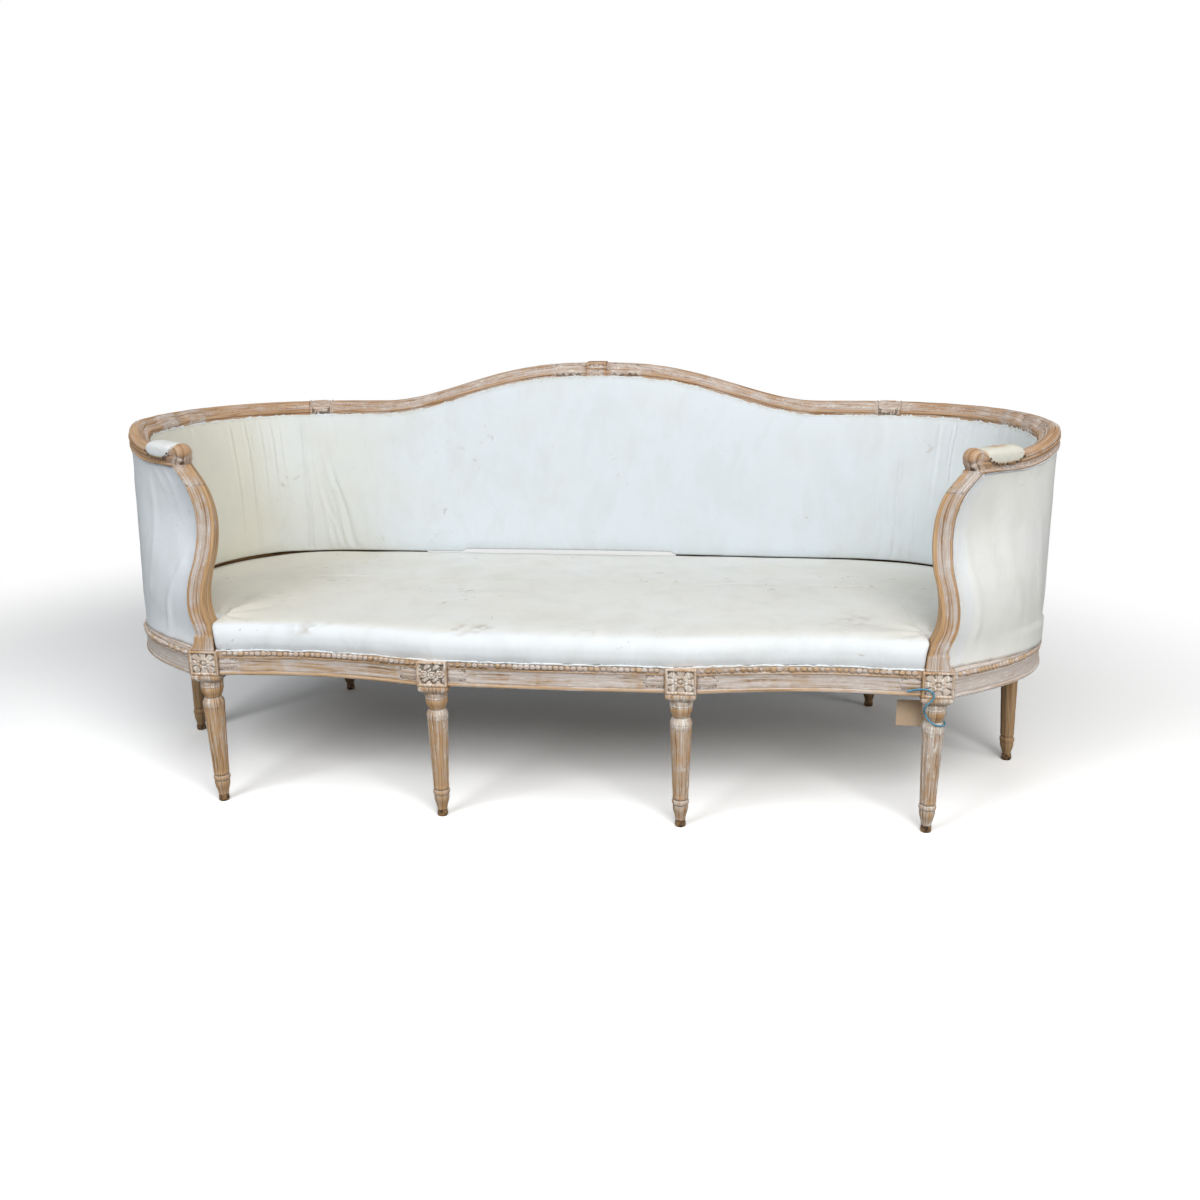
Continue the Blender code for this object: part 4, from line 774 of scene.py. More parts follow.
# the step from square block to round shaft: a superellipse whose power falls from square to circle
def abacusShell(half, high, low, seed):
    share = np.array((0, .05, .08, .14, .40, .48, .52, .60, .78, .86, .92, 1.0))
    size = np.array((.965, .965, .93, .995, 1.0, .985, .95, .945, .86, .80, .79, .76))
    fine = np.linspace(0, 1, 48)
    a = np.interp(fine, share, size) * half
    power = np.interp(fine, (0, 0.55, 0.8, 1), (26, 20, 7, 3))
    angle = np.arange(160) / 160 * 2 * np.pi
    c, s = np.abs(np.cos(angle))[None, :], np.abs(np.sin(angle))[None, :]
    rho = a[:, None] / (c ** power[:, None] + s ** power[:, None]) ** (1 / power[:, None])
    z = mix(high, low, fine)[:, None]
    points = np.stack(np.broadcast_arrays(rho * np.cos(angle), rho * np.sin(angle), z), -1)
    points[..., :2] *= (1 + 0.006 * rough(points, 0.014, seed))[..., None]
    hollow = np.interp(fine, (0, .04, .08, .14, .4, .5, .54, .8, .88, 1), (.3, .9, .9, .2, .3, .9, .5, .4, .9, .8))
    run = np.stack(np.broadcast_arrays(z, angle[None, :] * 0.03, seed), -1)
    return closedShell(points, run, hollow=np.broadcast_to(hollow[:, None], rho.shape))


def placed(shells, place, turn):
    c, s = math.cos(turn), math.sin(turn)
    matrix = np.array(((c, -s, 0), (s, c, 0), (0, 0, 1)))
    return [dict(shell, points=shell["points"] @ matrix.T + np.array(place)) for shell in shells]


glide = {"radius": 0.012,
         "profile": ((0.0, .80), (.0012, .93), (.004, 1.0), (.009, .98), (.0125, .93), (.015, .90), (.0165, .86))}
# the block stands this far over the shaft, so that no two faces lie in one plane
legGap = 0.0002


def glideShell(place):
    z, r = np.array(glide["profile"])[:, 0], np.array(glide["profile"])[:, 1] * glide["radius"]
    fineZ = np.linspace(0, z[-1], 24)
    angle = np.arange(32) / 32 * 2 * np.pi
    radius = smoothTable(fineZ, z, r)[:, None]
    points = np.stack(np.broadcast_arrays(radius * np.cos(angle), radius * np.sin(angle), fineZ[:, None]), -1)
    return closedShell(points + np.array((*place, 0)))


# a leg and the glide under its foot
def addLeg(kind, place, hand, shells, at, turn, foot, finish):
    addPiece(f"{kind}_{place}_{hand}", placed(shells, (*at, 0), turn), finish, [f"leg_{place}_{hand}"])
    addPiece(f"glide_foot_{place}_{hand}", [glideShell(foot)], "metal", [f"glide_{place}_{hand}"])


def makeLegs():
    o, leg, rear = outline, frontLeg, rearLeg
    half, low = o["block"] / 2, o["railBottom"] + legGap
    for place, x, y in (("corner", o["cornerLegX"], o["cornerLegY"]), ("middle", o["middleLegX"], o["middleLegY"])):
        corner = place == "corner"
        for hand, side in hands:
            seed = 3 + side + (0 if corner else 5)
            front = flowerRelief if (place, hand) == ("middle", "left") else rosetteRelief
            right, left = (rosetteRelief if corner and side == s else None for s in (1, -1))
            shells = [carvedBlock(half, low, o["railTop"], (front, right, None, left), leg["reliefDepth"],
                                  leg["border"], seed),
                      abacusShell(half, o["railBottom"], o["railBottom"] - leg["abacus"] - leg["overlap"], seed),
                      # painted light by side: paler right legs, darker left legs, half as much on the middle legs
                      turnedShaft(leg, 0.0, seed, leg["limed"][hand] * (1.0 if corner else 0.5))]
            addLeg("frontLeg", place, hand, shells, (side * x, y), 0.0, (side * x, y), "legs")
    for place, station in (("back", 1.0), ("side", 2.0)):
        point, _, inward = runFrame(seatLine, np.array(station))
        centre = point + inward * (rear["block"] / 2 - o["railInset"])
        turn = math.atan2(inward[0], -inward[1])
        splay = rear["splay"] if place == "side" else (o["depth"] / 2 - glide["radius"] - centre[1]) / math.cos(turn)
        foot = centre + np.array((-math.sin(turn), math.cos(turn))) * splay
        for hand, side in hands:
            shells = [carvedBlock(rear["block"] / 2, low, o["railTop"], (None,) * 4, 0, 1, 7, 16, 20),
                      turnedShaft(rear, splay, 11 + side)]
            addLeg("rearLeg", place, hand, shells, (side * centre[0], centre[1]), math.pi + side * turn,
                   (side * foot[0], foot[1]), "rear")


makeLegs()
print("legs made")


# ---------- seat rails ----------

rail = {"mould": 0.008, "spacing": 0.004, "gap": 0.0004, "turnIn": 0.05, "wear": 0.0003, "pearlPitch": 0.0108,
        "pearl": 0.0053, "panel": 0.044, "pearlDepth": 0.60, "handTone": {"left": -0.35, "right": 0.0},
        "sidePearl": 1.15,
        # limewash along the height: cream foot, bare bead, limed face, bare band behind the pearls
        "tones": ((0.0, 0.5), (0.05, 0.5), (0.065, -0.35), (0.125, -0.35), (0.16, 0.2), (0.3, 0.45), (0.68, 0.45),
                  (0.72, 0.0), (0.77, -0.3), (1.0, 0.0)),
        # depth as a share of the moulding's, height as a share of the rail's, from the bottom up
        "profile": ((1.2, 0.0), (.45, 0.0), (.22, .008), (.07, .03), (.0, .06), (.0, .095), (.05, .12), (.16, .135),
                    (.34, .145), (.40, .155), (.38, .17), (.30, .185), (.28, .21), (.34, .30), (.42, .42), (.44, .52),
                    (.40, .62), (.30, .70), (.26, .715), (.14, .722), (.10, .735), (.12, .75), (.18, .755), (.50, .762),
                    (.64, .77), (.68, .79), (.68, .985), (.66, .99), (.60, .995), (.58, 1.0))}


def railSection():
    d = np.array(rail["profile"])[:, 0] * rail["mould"]
    h = np.array(rail["profile"])[:, 1] * (outline["railTop"] - outline["railBottom"]) + outline["railBottom"]
    d, h, _ = evenSection(d, h, 92)
    rear = outline["railThickness"]
    return np.append(d, (rear, rear)), np.append(h, (outline["railTop"], outline["railBottom"]))


# carry the section along a run: points = line + inward * depth, lifted to the section's height
def sweep(line, inward, distance, depth, height, hollow, seed, tone):
    height = np.broadcast_to(height, depth.shape)
    points = setBack(line[:, None], inward[:, None], depth, height)
    noise = rough(np.stack([distance[:, None] * 0.35 + 0 * depth, depth, height], -1), 0.006, seed)
    points[..., :2] -= inward[:, None] * noise[..., None] * rail["wear"]
    run = np.stack(np.broadcast_arrays(distance[:, None], pathLength(np.stack([depth[0], height[0]], -1)), seed), -1)
    return closedShell(points, run, hollow, tone)


# 0 on a section's crests, about a half on its flats, 1 in its narrow channels
def sectionHollow(depth, count):
    d = depth[:count]
    near, wide = (np.stack([d[np.clip(np.arange(count) + k, 0, count - 1)] for k in range(-n, n + 1)]) for n in (3, 14))
    crack = np.clip((d - near.mean(0)) / 0.0006, 0, 1)
    low = np.clip((d - wide.min(0)) / 0.004, 0, 1)
    return np.append(np.clip(0.5 * low + 0.3 * crack, 0, 1), (0.3, 0.3))


# a row of worn pearls: half balls on points, each flattened and shifted a little by noise
def pearlShells(centres, outward, along, radius, seed):
    rings, columns = 5, 8
    lift = np.linspace(0, np.pi / 2, rings)[:-1]
    angle = np.arange(columns) / columns * 2 * np.pi
    count = len(centres)
    n = rough(np.stack([np.arange(count) * 0.37, np.zeros(count), np.full(count, seed)], -1), 0.31, seed)
    size, high = radius * (1 + 0.30 * n), 0.9 + 0.25 * np.roll(n, 3)
    up = np.array((0, 0, 1.0))
    side = along[:, None, None, :] * (np.cos(lift)[:, None] * np.cos(angle)[None, :])[None, :, :, None] * 1.12
    rise = up * (np.cos(lift)[:, None] * np.sin(angle)[None, :])[None, :, :, None]
    out = outward[:, None, None, :] * np.sin(lift)[None, :, None, None] * high[:, None, None, None]
    body = centres[:, None, None, :] + (side + rise + out) * size[:, None, None, None]
    tips = centres + outward * size[:, None] * high[:, None]
    points = np.concatenate([body.reshape(count, -1, 3), tips[:, None, :]], 1)
    per = points.shape[1]
    index = np.arange((rings - 1) * columns).reshape(rings - 1, columns)
    near, far = index[:-1], index[1:]
    quads = np.stack([near, np.roll(near, -1, 1), np.roll(far, -1, 1), far], -1).reshape(-1, 4)
    tip = np.full(columns, per - 1)
    triangles = np.stack([index[-1], np.roll(index[-1], -1), tip], -1)
    foot = np.stack([np.roll(index[0], -1), index[0], np.full(columns, index[0][0])], -1)[1:-1]
    offset = (np.arange(count) * per)[:, None, None]
    hollow = np.concatenate([np.repeat(np.array((.95, .5, .25, .1)), columns), [0.0]])
    place = np.repeat((np.arange(count) * 0.011)[:, None], per, 1)[..., None]
    run = np.concatenate([place, points[..., 2:3], 0 * points[..., :1]], -1)
    faces = np.concatenate([triangles, foot])
    shell = {"points": points.reshape(-1, 3), "quads": (quads[None] + offset).reshape(-1, 4),
             "triangles": (faces[None] + offset).reshape(-1, 3), "run": run.reshape(-1, 3),
             "hollow": np.tile(hollow, count), "tone": np.repeat(0.9 * np.roll(n, 1), per)}
    if volumeOf({"points": shell["points"][:per], "quads": quads, "triangles": faces}) < 0:
        shell["quads"], shell["triangles"] = shell["quads"][:, ::-1], shell["triangles"][:, ::-1]
    return shell


# a moulded rail over a run, with carved panels next to the blocks and pearls along its top band
def railShells(line, inward, distance, seed, carved=True, paler=0.0):
    depth, height = railSection()
    count = len(depth) - 2
    hollow = np.broadcast_to(sectionHollow(depth, count)[None, :], (len(line), len(depth))).copy()
    share = (height - outline["railBottom"]) / (outline["railTop"] - outline["railBottom"])
    total = distance[-1]
    extra = np.zeros((len(line), len(depth)))
    face = (np.arange(len(depth)) < count) & (share > 0.13)
    for away in (distance, total - distance) if carved else ():
        x = (away / rail["panel"])[:, None] + 0 * extra
        y = ((share - 0.46) / 0.27)[None, :] + 0 * extra
        inside = ease((1 - x) / 0.06) * (face & (share < 0.74))[None, :] * ease((1.02 - np.abs(y)) / 0.06)
        leaf = leafRelief(np.clip(x * 1.02, 0, 1), y * 1.05, 3)
        extra = mix(extra, depth[None, :] - 0.0030 + 0.0022 * leaf, inside)
        hollow = mix(hollow, np.clip(0.95 - 1.0 * leaf, 0.05, 1) * 0.9, inside)
        groove = bell((x - 1.03 - 0.05 * np.sin(y * 2.3)) / 0.030) * face[None, :]
        extra = extra - groove * 0.0016
        hollow = np.maximum(hollow, groove)
    tone = np.interp(share, *np.array(rail["tones"]).T)[None, :] + paler + 0 * hollow
    shells = [sweep(line, inward, distance, depth[None, :] - extra, height, hollow, seed, tone)]
    pitch = rail["pearlPitch"] * (1.16 if carved else 1.0)
    at = np.arange(0.004 + pitch / 2, total - 0.004 - pitch / 3, pitch)
    at = at + 0.1 * pitch * roughLine(at, 0.007, seed)
    centre = np.stack([np.interp(at, distance, line[:, k]) for k in (0, 1)], -1)
    inner = np.stack([np.interp(at, distance, inward[:, k]) for k in (0, 1)], -1)
    inner /= np.linalg.norm(inner, axis=1, keepdims=True)
    level = outline["railBottom"] + 0.885 * (outline["railTop"] - outline["railBottom"])
    centres = np.column_stack([centre + inner * rail["pearlDepth"] * rail["mould"], np.full(len(at), level)])
    outward = np.column_stack([-inner, np.zeros(len(at))])
    along = np.column_stack([inner[:, 1], -inner[:, 0], np.zeros(len(at))])
    shells.append(pearlShells(centres, outward, along, rail["pearl"] * (1.08 if carved else rail["sidePearl"]), seed))
    return shells


def frontRun(x0, y0, x1, y1, swell):
    count = int(abs(x1 - x0) / rail["spacing"])
    share = np.linspace(0, 1, count)
    line = np.stack([mix(x0, x1, share), mix(y0, y1, share) + outline["railInset"] + swell * np.sin(np.pi * share)], -1)
    return line, np.tile((0.0, 1.0), (count, 1)), pathLength(line)


# a stretch of a line between two stations, with its ends trimmed back by lengths
def trimmedRun(lineOf, start, end, spacing, startTrim, endTrim):
    station, distance = evenStations(lineOf, start, end, spacing)
    keep = np.linspace(startTrim, distance[-1] - endTrim, int((distance[-1] - startTrim - endTrim) / spacing) + 1)
    point, _, inward = runFrame(lineOf, np.interp(keep, distance, station))
    return point, inward, keep - keep[0]


def addRail(place, run, seed, side=1, carved=True, paler=0.0):
    shells = railShells(*run, seed, carved, paler)
    addPiece(f"seatRail_{place}", sideShells(shells, side), "rails", [f"rail_{place}"])


def makeSeatRails():
    o, spacing = outline, rail["spacing"]
    half, gap = o["block"] / 2, rail["gap"]
    middleFace, cornerFace = o["middleLegY"] - half, o["cornerLegY"] - half
    reach, trim = o["middleLegX"] - half - gap, rearLeg["block"] / 2 + gap
    addRail("front_middle", frontRun(-reach, middleFace, reach, middleFace, o["frontBow"]), 21, paler=-0.1)
    for hand, side in hands:
        run = frontRun(o["middleLegX"] + half + gap, middleFace, o["cornerLegX"] - half - gap, cornerFace,
                       o["frontHollow"])
        addRail(f"front_{hand}", run, 22 + side, side, paler=rail["handTone"][hand])
        # the side rail's front end turns to lie square on the corner block
        point, inward, distance = trimmedRun(seatLine, 2, 3, spacing, trim, 0)
        weight = ease((distance - distance[-1] + rail["turnIn"]) / rail["turnIn"])[:, None]
        inward = mix(inward, np.array((0.0, 1.0)), weight)
        inward /= np.linalg.norm(inward, axis=1, keepdims=True)
        run = point + (gap, 0) * weight, inward, distance
        addRail(f"side_{hand}", run, 25 + side, side, False, 0.6 + 0.2 * side)
        addRail(f"rear_corner_{hand}", trimmedRun(seatLine, 1, 2, spacing, trim, trim), 28 + side, side, False)
    addRail("back", trimmedRun(seatLine, -1, 1, spacing, trim, trim), 31, carved=False)


makeSeatRails()
print("seat rails made")


# ---------- top rail ----------

topRail = {"spacing": 0.0035, "collar": 0.066, "leaf": 0.10, "blockHalf": 0.026, "joint": 0.0006, "crestTone": 0.18,
           "block": {"width": 0.05, "deeper": 0.005, "higher": 0.006, "lift": 0.0022, "relief": 0.07, "border": 0.82},
           "handTone": {"left": -0.35, "right": 0.0},
           # carvings: from and to as shares round the section, then depth, lift and soft edge of the relief
           "crestLeaf": {"low": 0.46, "high": 0.97, "depth": 0.0035, "lift": 0.0012, "edge": 0.5},
           "endCollar": {"low": 0.28, "high": 0.99, "depth": 0.0036, "lift": 0.0022},
           "sideLeaf": {"low": 0.48, "high": 0.96, "depth": 0.0020, "lift": 0.0006, "edge": 0.5, "soil": 0.7},
           # where they lie: metres from the corner length's end, or along the arm from its joint
           "cornerLeaf": {"fromEnd": 0.05, "half": 0.046},
           "armLeaves": ({"at": 0.056, "half": 0.05}, {"at": 0.135, "half": 0.055, "low": 0.05, "high": 0.5}),
           # depth and height as shares of the rail's, from the bottom of the outer face over to the inner face
           "profile": ((.06, 0.0), (.01, .02), (.0, .05), (.0, .10), (.02, .12), (.045, .14), (.06, .20), (.065, .28),
                       (.05, .37), (.02, .43), (.0, .455), (-.005, .48), (-.005, .54), (.01, .565), (.06, .575),
                       (.07, .60), (.045, .64), (.035, .70), (.06, .80), (.13, .90), (.22, .965), (.33, 1.0),
                       (.44, .985), (.53, .93), (.585, .86), (.60, .80), (.605, .765), (.625, .755), (.65, .775),
                       (.675, .775), (.69, .75), (.70, .70), (.725, .64), (.77, .585), (.83, .55), (.885, .535),
                       (.90, .52), (.905, .50), (.93, .495), (.965, .47), (.995, .42), (1.0, .36), (.985, .30),
                       (.95, .265), (.925, .255), (.925, .235), (.945, .225), (.955, .20), (.955, .05), (.94, .0))}


def topSection():
    d = np.array(topRail["profile"])[:, 0] * outline["topRailDepth"]
    h = np.array(topRail["profile"])[:, 1] * outline["topRailHeight"] - outline["topRailHeight"]
    return evenSection(d, h, 120)


# the plain rounded section under a collar or a leaf: the moulding's channels filled up
def filledSection(depth):
    share = np.array((0.0, .0, .0, .05, .2, .38, .56, .74, .9, 1.0, 1.0, .96))
    rise = np.array((0.0, .3, .6, .84, .98, 1.03, 1.0, .88, .68, .45, .2, .0))
    d, h = share * outline["topRailDepth"], rise * outline["topRailHeight"] - outline["topRailHeight"]
    return evenSection(d, h, len(depth))[:2]


# normals of an open section, pointing away from the wood
def sectionNormals(depth, height):
    td, th = np.gradient(depth), np.gradient(height)
    size = np.maximum(np.hypot(td, th), 1e-9)
    return -th / size, td / size


# top rail over stations: the moulding, with carved stretches given by their middle and half length in metres
def topRailShell(stations, distance, carvings, seed, extraTone):
    point, _, inward = runFrame(topLine, stations)
    depth, height, fine = topSection()
    plainD, plainH = filledSection(depth)
    around = np.linspace(0, 1, len(depth))
    d = np.broadcast_to(depth, (len(stations), len(depth))).copy()
    h = np.broadcast_to(height, d.shape).copy()
    reach = np.hypot(depth - outline["topRailDepth"] * 0.45, height + outline["topRailHeight"] * 0.75)
    near, wide = (np.stack([np.roll(reach, k) for k in range(-n, n + 1)]) for n in (3, 10))
    hollow = 0.6 * np.clip((wide.max(0) - reach) / 0.004, 0, 1) + 0.25 * np.clip((near.mean(0) - reach) / 0.0004, 0, 1)
    hollow = np.broadcast_to(hollow, d.shape).copy()
    tone = 0.25 * (np.abs(around - 0.70) < 0.12)[None, :] + 0 * d + extraTone
    nd, nh = sectionNormals(plainD, plainH)
    for carving in carvings:
        x = (distance - carving["at"]) / carving["half"]
        band = ease((1 - np.abs(x)) / carving.get("edge", 0.12))[:, None]
        y = ((around - carving["low"]) / (carving["high"] - carving["low"]) * 2 - 1)[None, :]
        spot = ease((1 - np.abs(y)) / 0.15)
        relief = carving["relief"](*np.broadcast_arrays(x[:, None], y))
        lift = carving["lift"] + carving["depth"] * (relief - 1)
        share = band * spot
        d = mix(d, plainD[None, :] + nd[None, :] * lift, share)
        h = mix(h, plainH[None, :] + nh[None, :] * lift, share)
        hollow = mix(hollow, np.clip((1 - relief) * carving.get("soil", 1.15), 0.15, 1), share)
        tone = mix(tone, 0.6, share)
        joint = bell((distance - carving.get("joint", -1)) / 0.0012)[:, None]
        hollow = np.maximum(hollow, joint)
        d = d + joint * 0.0012 * (0.5 - d / outline["topRailDepth"])
        h = h - joint * 0.0012
    noise = rough(np.stack([distance[:, None] * 0.3 + 0 * d, d, h], -1), 0.007, seed)
    d, h = d + 0.0004 * noise, h + 0.00035 * np.roll(noise, 5, axis=0)
    points = setBack(point[:, None], inward[:, None], d, topHeight(stations)[:, None] + h)
    run = np.stack(np.broadcast_arrays(distance[:, None], fine[None, :], seed), -1)
    return closedShell(points, run, hollow, tone)


def collarRelief(x, y):
    frameShare = ease((np.abs(x) - 0.80) / 0.06)
    return np.maximum(frameShare, leafRelief((np.abs(x) + 0.1) / 0.9, y * 1.05, 4))


def armLeafRelief(x, y):
    return leafRelief((x + 1) / 2, y, 5)


def crestLeafRelief(x, y):
    return leafRelief(1 - (x + 1) / 2, y, 5)


# even stations of one length of the top rail, short of its joints
def jointedStations(start, end, startGap, endGap):
    stations, distance = evenStations(topLine, start, end, topRail["spacing"])
    inner = np.linspace(startGap, distance[-1] - endGap, len(stations))
    return np.interp(inner, distance, stations), inner


def makeTopRail():
    t, o = topRail, outline
    gap = t["joint"] / 2
    stations, distance = jointedStations(-1, 1, gap, gap)
    total = distance[-1] + gap
    middle, reach = total / 2, t["blockHalf"] + t["leaf"] / 2
    carvings = [dict(t["crestLeaf"], at=middle + way * reach, half=t["leaf"] / 2, relief=relief)
                for way, relief in ((-1, crestLeafRelief), (1, armLeafRelief))]
    half = t["collar"] / 2
    carvings += [dict(t["endCollar"], at=place, half=half, relief=collarRelief, joint=place + way * half)
                 for place, way in ((half, 1), (total - half, -1))]
    b = t["block"]
    block = carvedBlock(0.5, -0.5, 0.5, (rosetteRelief, None, None, None), b["relief"], b["border"], 43)
    depth, height = o["topRailDepth"] + b["deeper"], o["topRailHeight"] + b["higher"]
    crest = np.array(0.0)
    centre = (0, topLine(crest)[1] - o["topRailDepth"] / 2, float(topHeight(crest)) + b["lift"] - height / 2)
    block["points"] = block["points"] * (b["width"], depth, height) + centre
    block["run"] = np.column_stack([block["points"][:, 0], block["points"][:, 2], np.full(len(block["points"]), 43)])
    addPiece("topRail_crest", [topRailShell(stations, distance, carvings, 41, t["crestTone"]), block], "top",
             ["crest_rail"])
    for hand, side in hands:
        tone = t["handTone"][hand]
        stations, distance = jointedStations(1, 2, gap, gap)
        leaf = t["cornerLeaf"]
        carvings = [dict(t["sideLeaf"], at=distance[-1] - leaf["fromEnd"], half=leaf["half"], relief=crestLeafRelief)]
        shells = [topRailShell(stations, distance, carvings, 45 + side, tone)]
        addPiece(f"topRail_corner_{hand}", sideShells(shells, side), "top", [f"top_rail_corner_{hand}"])
        stations, distance = jointedStations(2, 3, gap, 0)
        carvings = [dict(t["sideLeaf"], relief=armLeafRelief, **leaf) for leaf in t["armLeaves"]]
        shells = [topRailShell(stations, distance, carvings, 48 + side, tone), knuckleShell()]
        addPiece(f"topRail_arm_{hand}", sideShells(shells, side), "top", [f"arm_rail_{hand}"])


knuckle = {"wide": 0.0215, "long": 0.0225, "rise": 0.0195, "drop": 0.058, "level": 0.792, "setBack": 0.001,
           "aim": (-0.35, -0.78, 0.52), "cap": 0.95, "groove": 0.0009, "dome": 0.0050,
           "rib": 0.0022, "curl": 0.0022, "pit": 0.0040, "wear": 0.0006}


# the arm's end: an egg whose lower half runs down and over to the support, with a smooth boss on its upper front,
# a curl beside a hole under the boss, and a leaf of ribs hanging below; the curl carries a painted highlight and the
# hole painted shade
def knuckleShell():
    k = knuckle
    v, angle = np.meshgrid(np.linspace(0.02, np.pi - 0.02, 96), np.arange(120) / 120 * 2 * np.pi, indexing="ij")
    lower = np.clip(-np.cos(v), 0, 1)
    round_ = np.where(np.cos(v) > 0, np.sin(v) ** 0.9, np.sin(v) ** 0.30)
    long, wide = (mix(k[name], support["width"] * 0.44, ease(lower / 0.7)) for name in ("long", "wide"))
    ahead, across = np.array((*armHeading, 0)), np.array((*armInward, 0))
    centre = np.array((*(armEnd + armInward * outline["topRailDepth"] / 2 - armHeading * k["setBack"]), k["level"]))
    rise = np.where(np.cos(v) > 0, k["rise"], k["drop"]) * np.cos(v)
    body = (round_ * long * np.cos(angle))[..., None] * ahead + (round_ * wide * np.sin(angle))[..., None] * across
    body = body + rise[..., None] * np.array((0, 0, 1.0))
    height = (k["level"] + rise - outline["railTop"]) / (underArm - outline["railTop"])
    lean = (supportFrame(height)[0] - supportFrame(np.array(1.0))[0]) * ease(lower / 0.5)[..., None]
    lean = lean + (supportHead - centre[:2]) * ease(lower / 0.6)[..., None]
    out = body * (1, 1, 0.35)
    out = out / np.linalg.norm(out, axis=-1, keepdims=True)
    facing = body / np.linalg.norm(body, axis=-1, keepdims=True)
    aim = np.array(k["aim"]) / np.linalg.norm(k["aim"])
    away = np.arccos(np.clip(facing @ aim, -1, 1))
    groove = bell((away - k["cap"]) / 0.09)
    cap = ease((k["cap"] - away) / 0.35)
    below = ease((-body[..., 2] - 0.004) / 0.010)
    ribs = np.abs(np.cos(angle * 4 + 14 * body[..., 2])) ** 0.6
    curl = np.exp(-(((away - k["cap"] - 0.22) / 0.12) ** 2) - ((facing[..., 0] + 0.30) / 0.22) ** 2)
    pit = np.exp(-(((away - k["cap"] - 0.50) / 0.14) ** 2) - ((facing[..., 0] + 0.30) / 0.16) ** 2)
    dome = np.sqrt(np.clip(1 - (away / k["cap"]) ** 2, 0, 1))
    lift = k["dome"] * dome - k["groove"] * groove + k["rib"] * (ribs - 0.5) * below
    lift = lift + k["curl"] * curl - k["pit"] * pit + k["wear"] * rough(body, 0.007, 51)
    points = centre + body + out * lift[..., None]
    points[..., :2] += lean
    # the hole is also painted dark: painted shade on top of its depth
    hollow = np.clip(0.30 * groove + (1 - ribs) * 1.1 * below + pit * 1.3 + 0.25 * (1 - cap), 0, 1)
    run = np.stack([body[..., 2] * 0.7 + body @ ahead, body @ across, 0 * angle + 51], -1)
    # painted highlight on the curl, with more limewash, and painted shade in the hole, with less limewash
    tone = mix(0.5, 0.15, cap) + 0.6 * curl - 0.6 * pit
    return closedShell(points, run, hollow, tone)


makeTopRail()
print("top rail made")


# ---------- arm supports ----------

supportLook = {"rows": 150, "plinth": 0.031, "leafBand": 0.058, "joint": 0.724, "slim": 0.88, "topLimed": 0.4,
               "flare": 0.05, "spread": 0.16, "darker": {"left": 0.40, "right": 0.24},
               # across and along as shares of the section's, round it, starting at the front's inner edge
               "section": ((-.5, -.30), (-.49, -.40), (-.46, -.46), (-.41, -.495), (-.34, -.50), (-.28, -.47),
                           (-.24, -.425), (-.21, -.41), (-.18, -.43), (-.14, -.455), (-.10, -.435), (-.07, -.395),
                           (-.03, -.385), (.0, -.42), (.04, -.455), (.10, -.462), (.17, -.455), (.25, -.458),
                           (.33, -.465), (.375, -.45), (.395, -.42), (.415, -.425), (.445, -.46), (.475, -.45),
                           (.495, -.39), (.5, -.30), (.49, -.20), (.465, -.13), (.455, -.06), (.465, .0), (.49, .06),
                           (.5, .12), (.5, .5), (-.5, .5), (-.5, .12), (-.49, .06), (-.465, .0), (-.455, -.06),
                           (-.465, -.13), (-.49, -.20)),
               # limewash across the front, from the inner edge to the outer one
               "tones": ((-.5, -.45), (-.26, -.45), (-.22, .1), (-.14, .75), (-.08, .2), (-.03, .0), (.04, .55),
                         (.36, .6), (.40, -.1), (.45, -.15), (.5, -.5))}


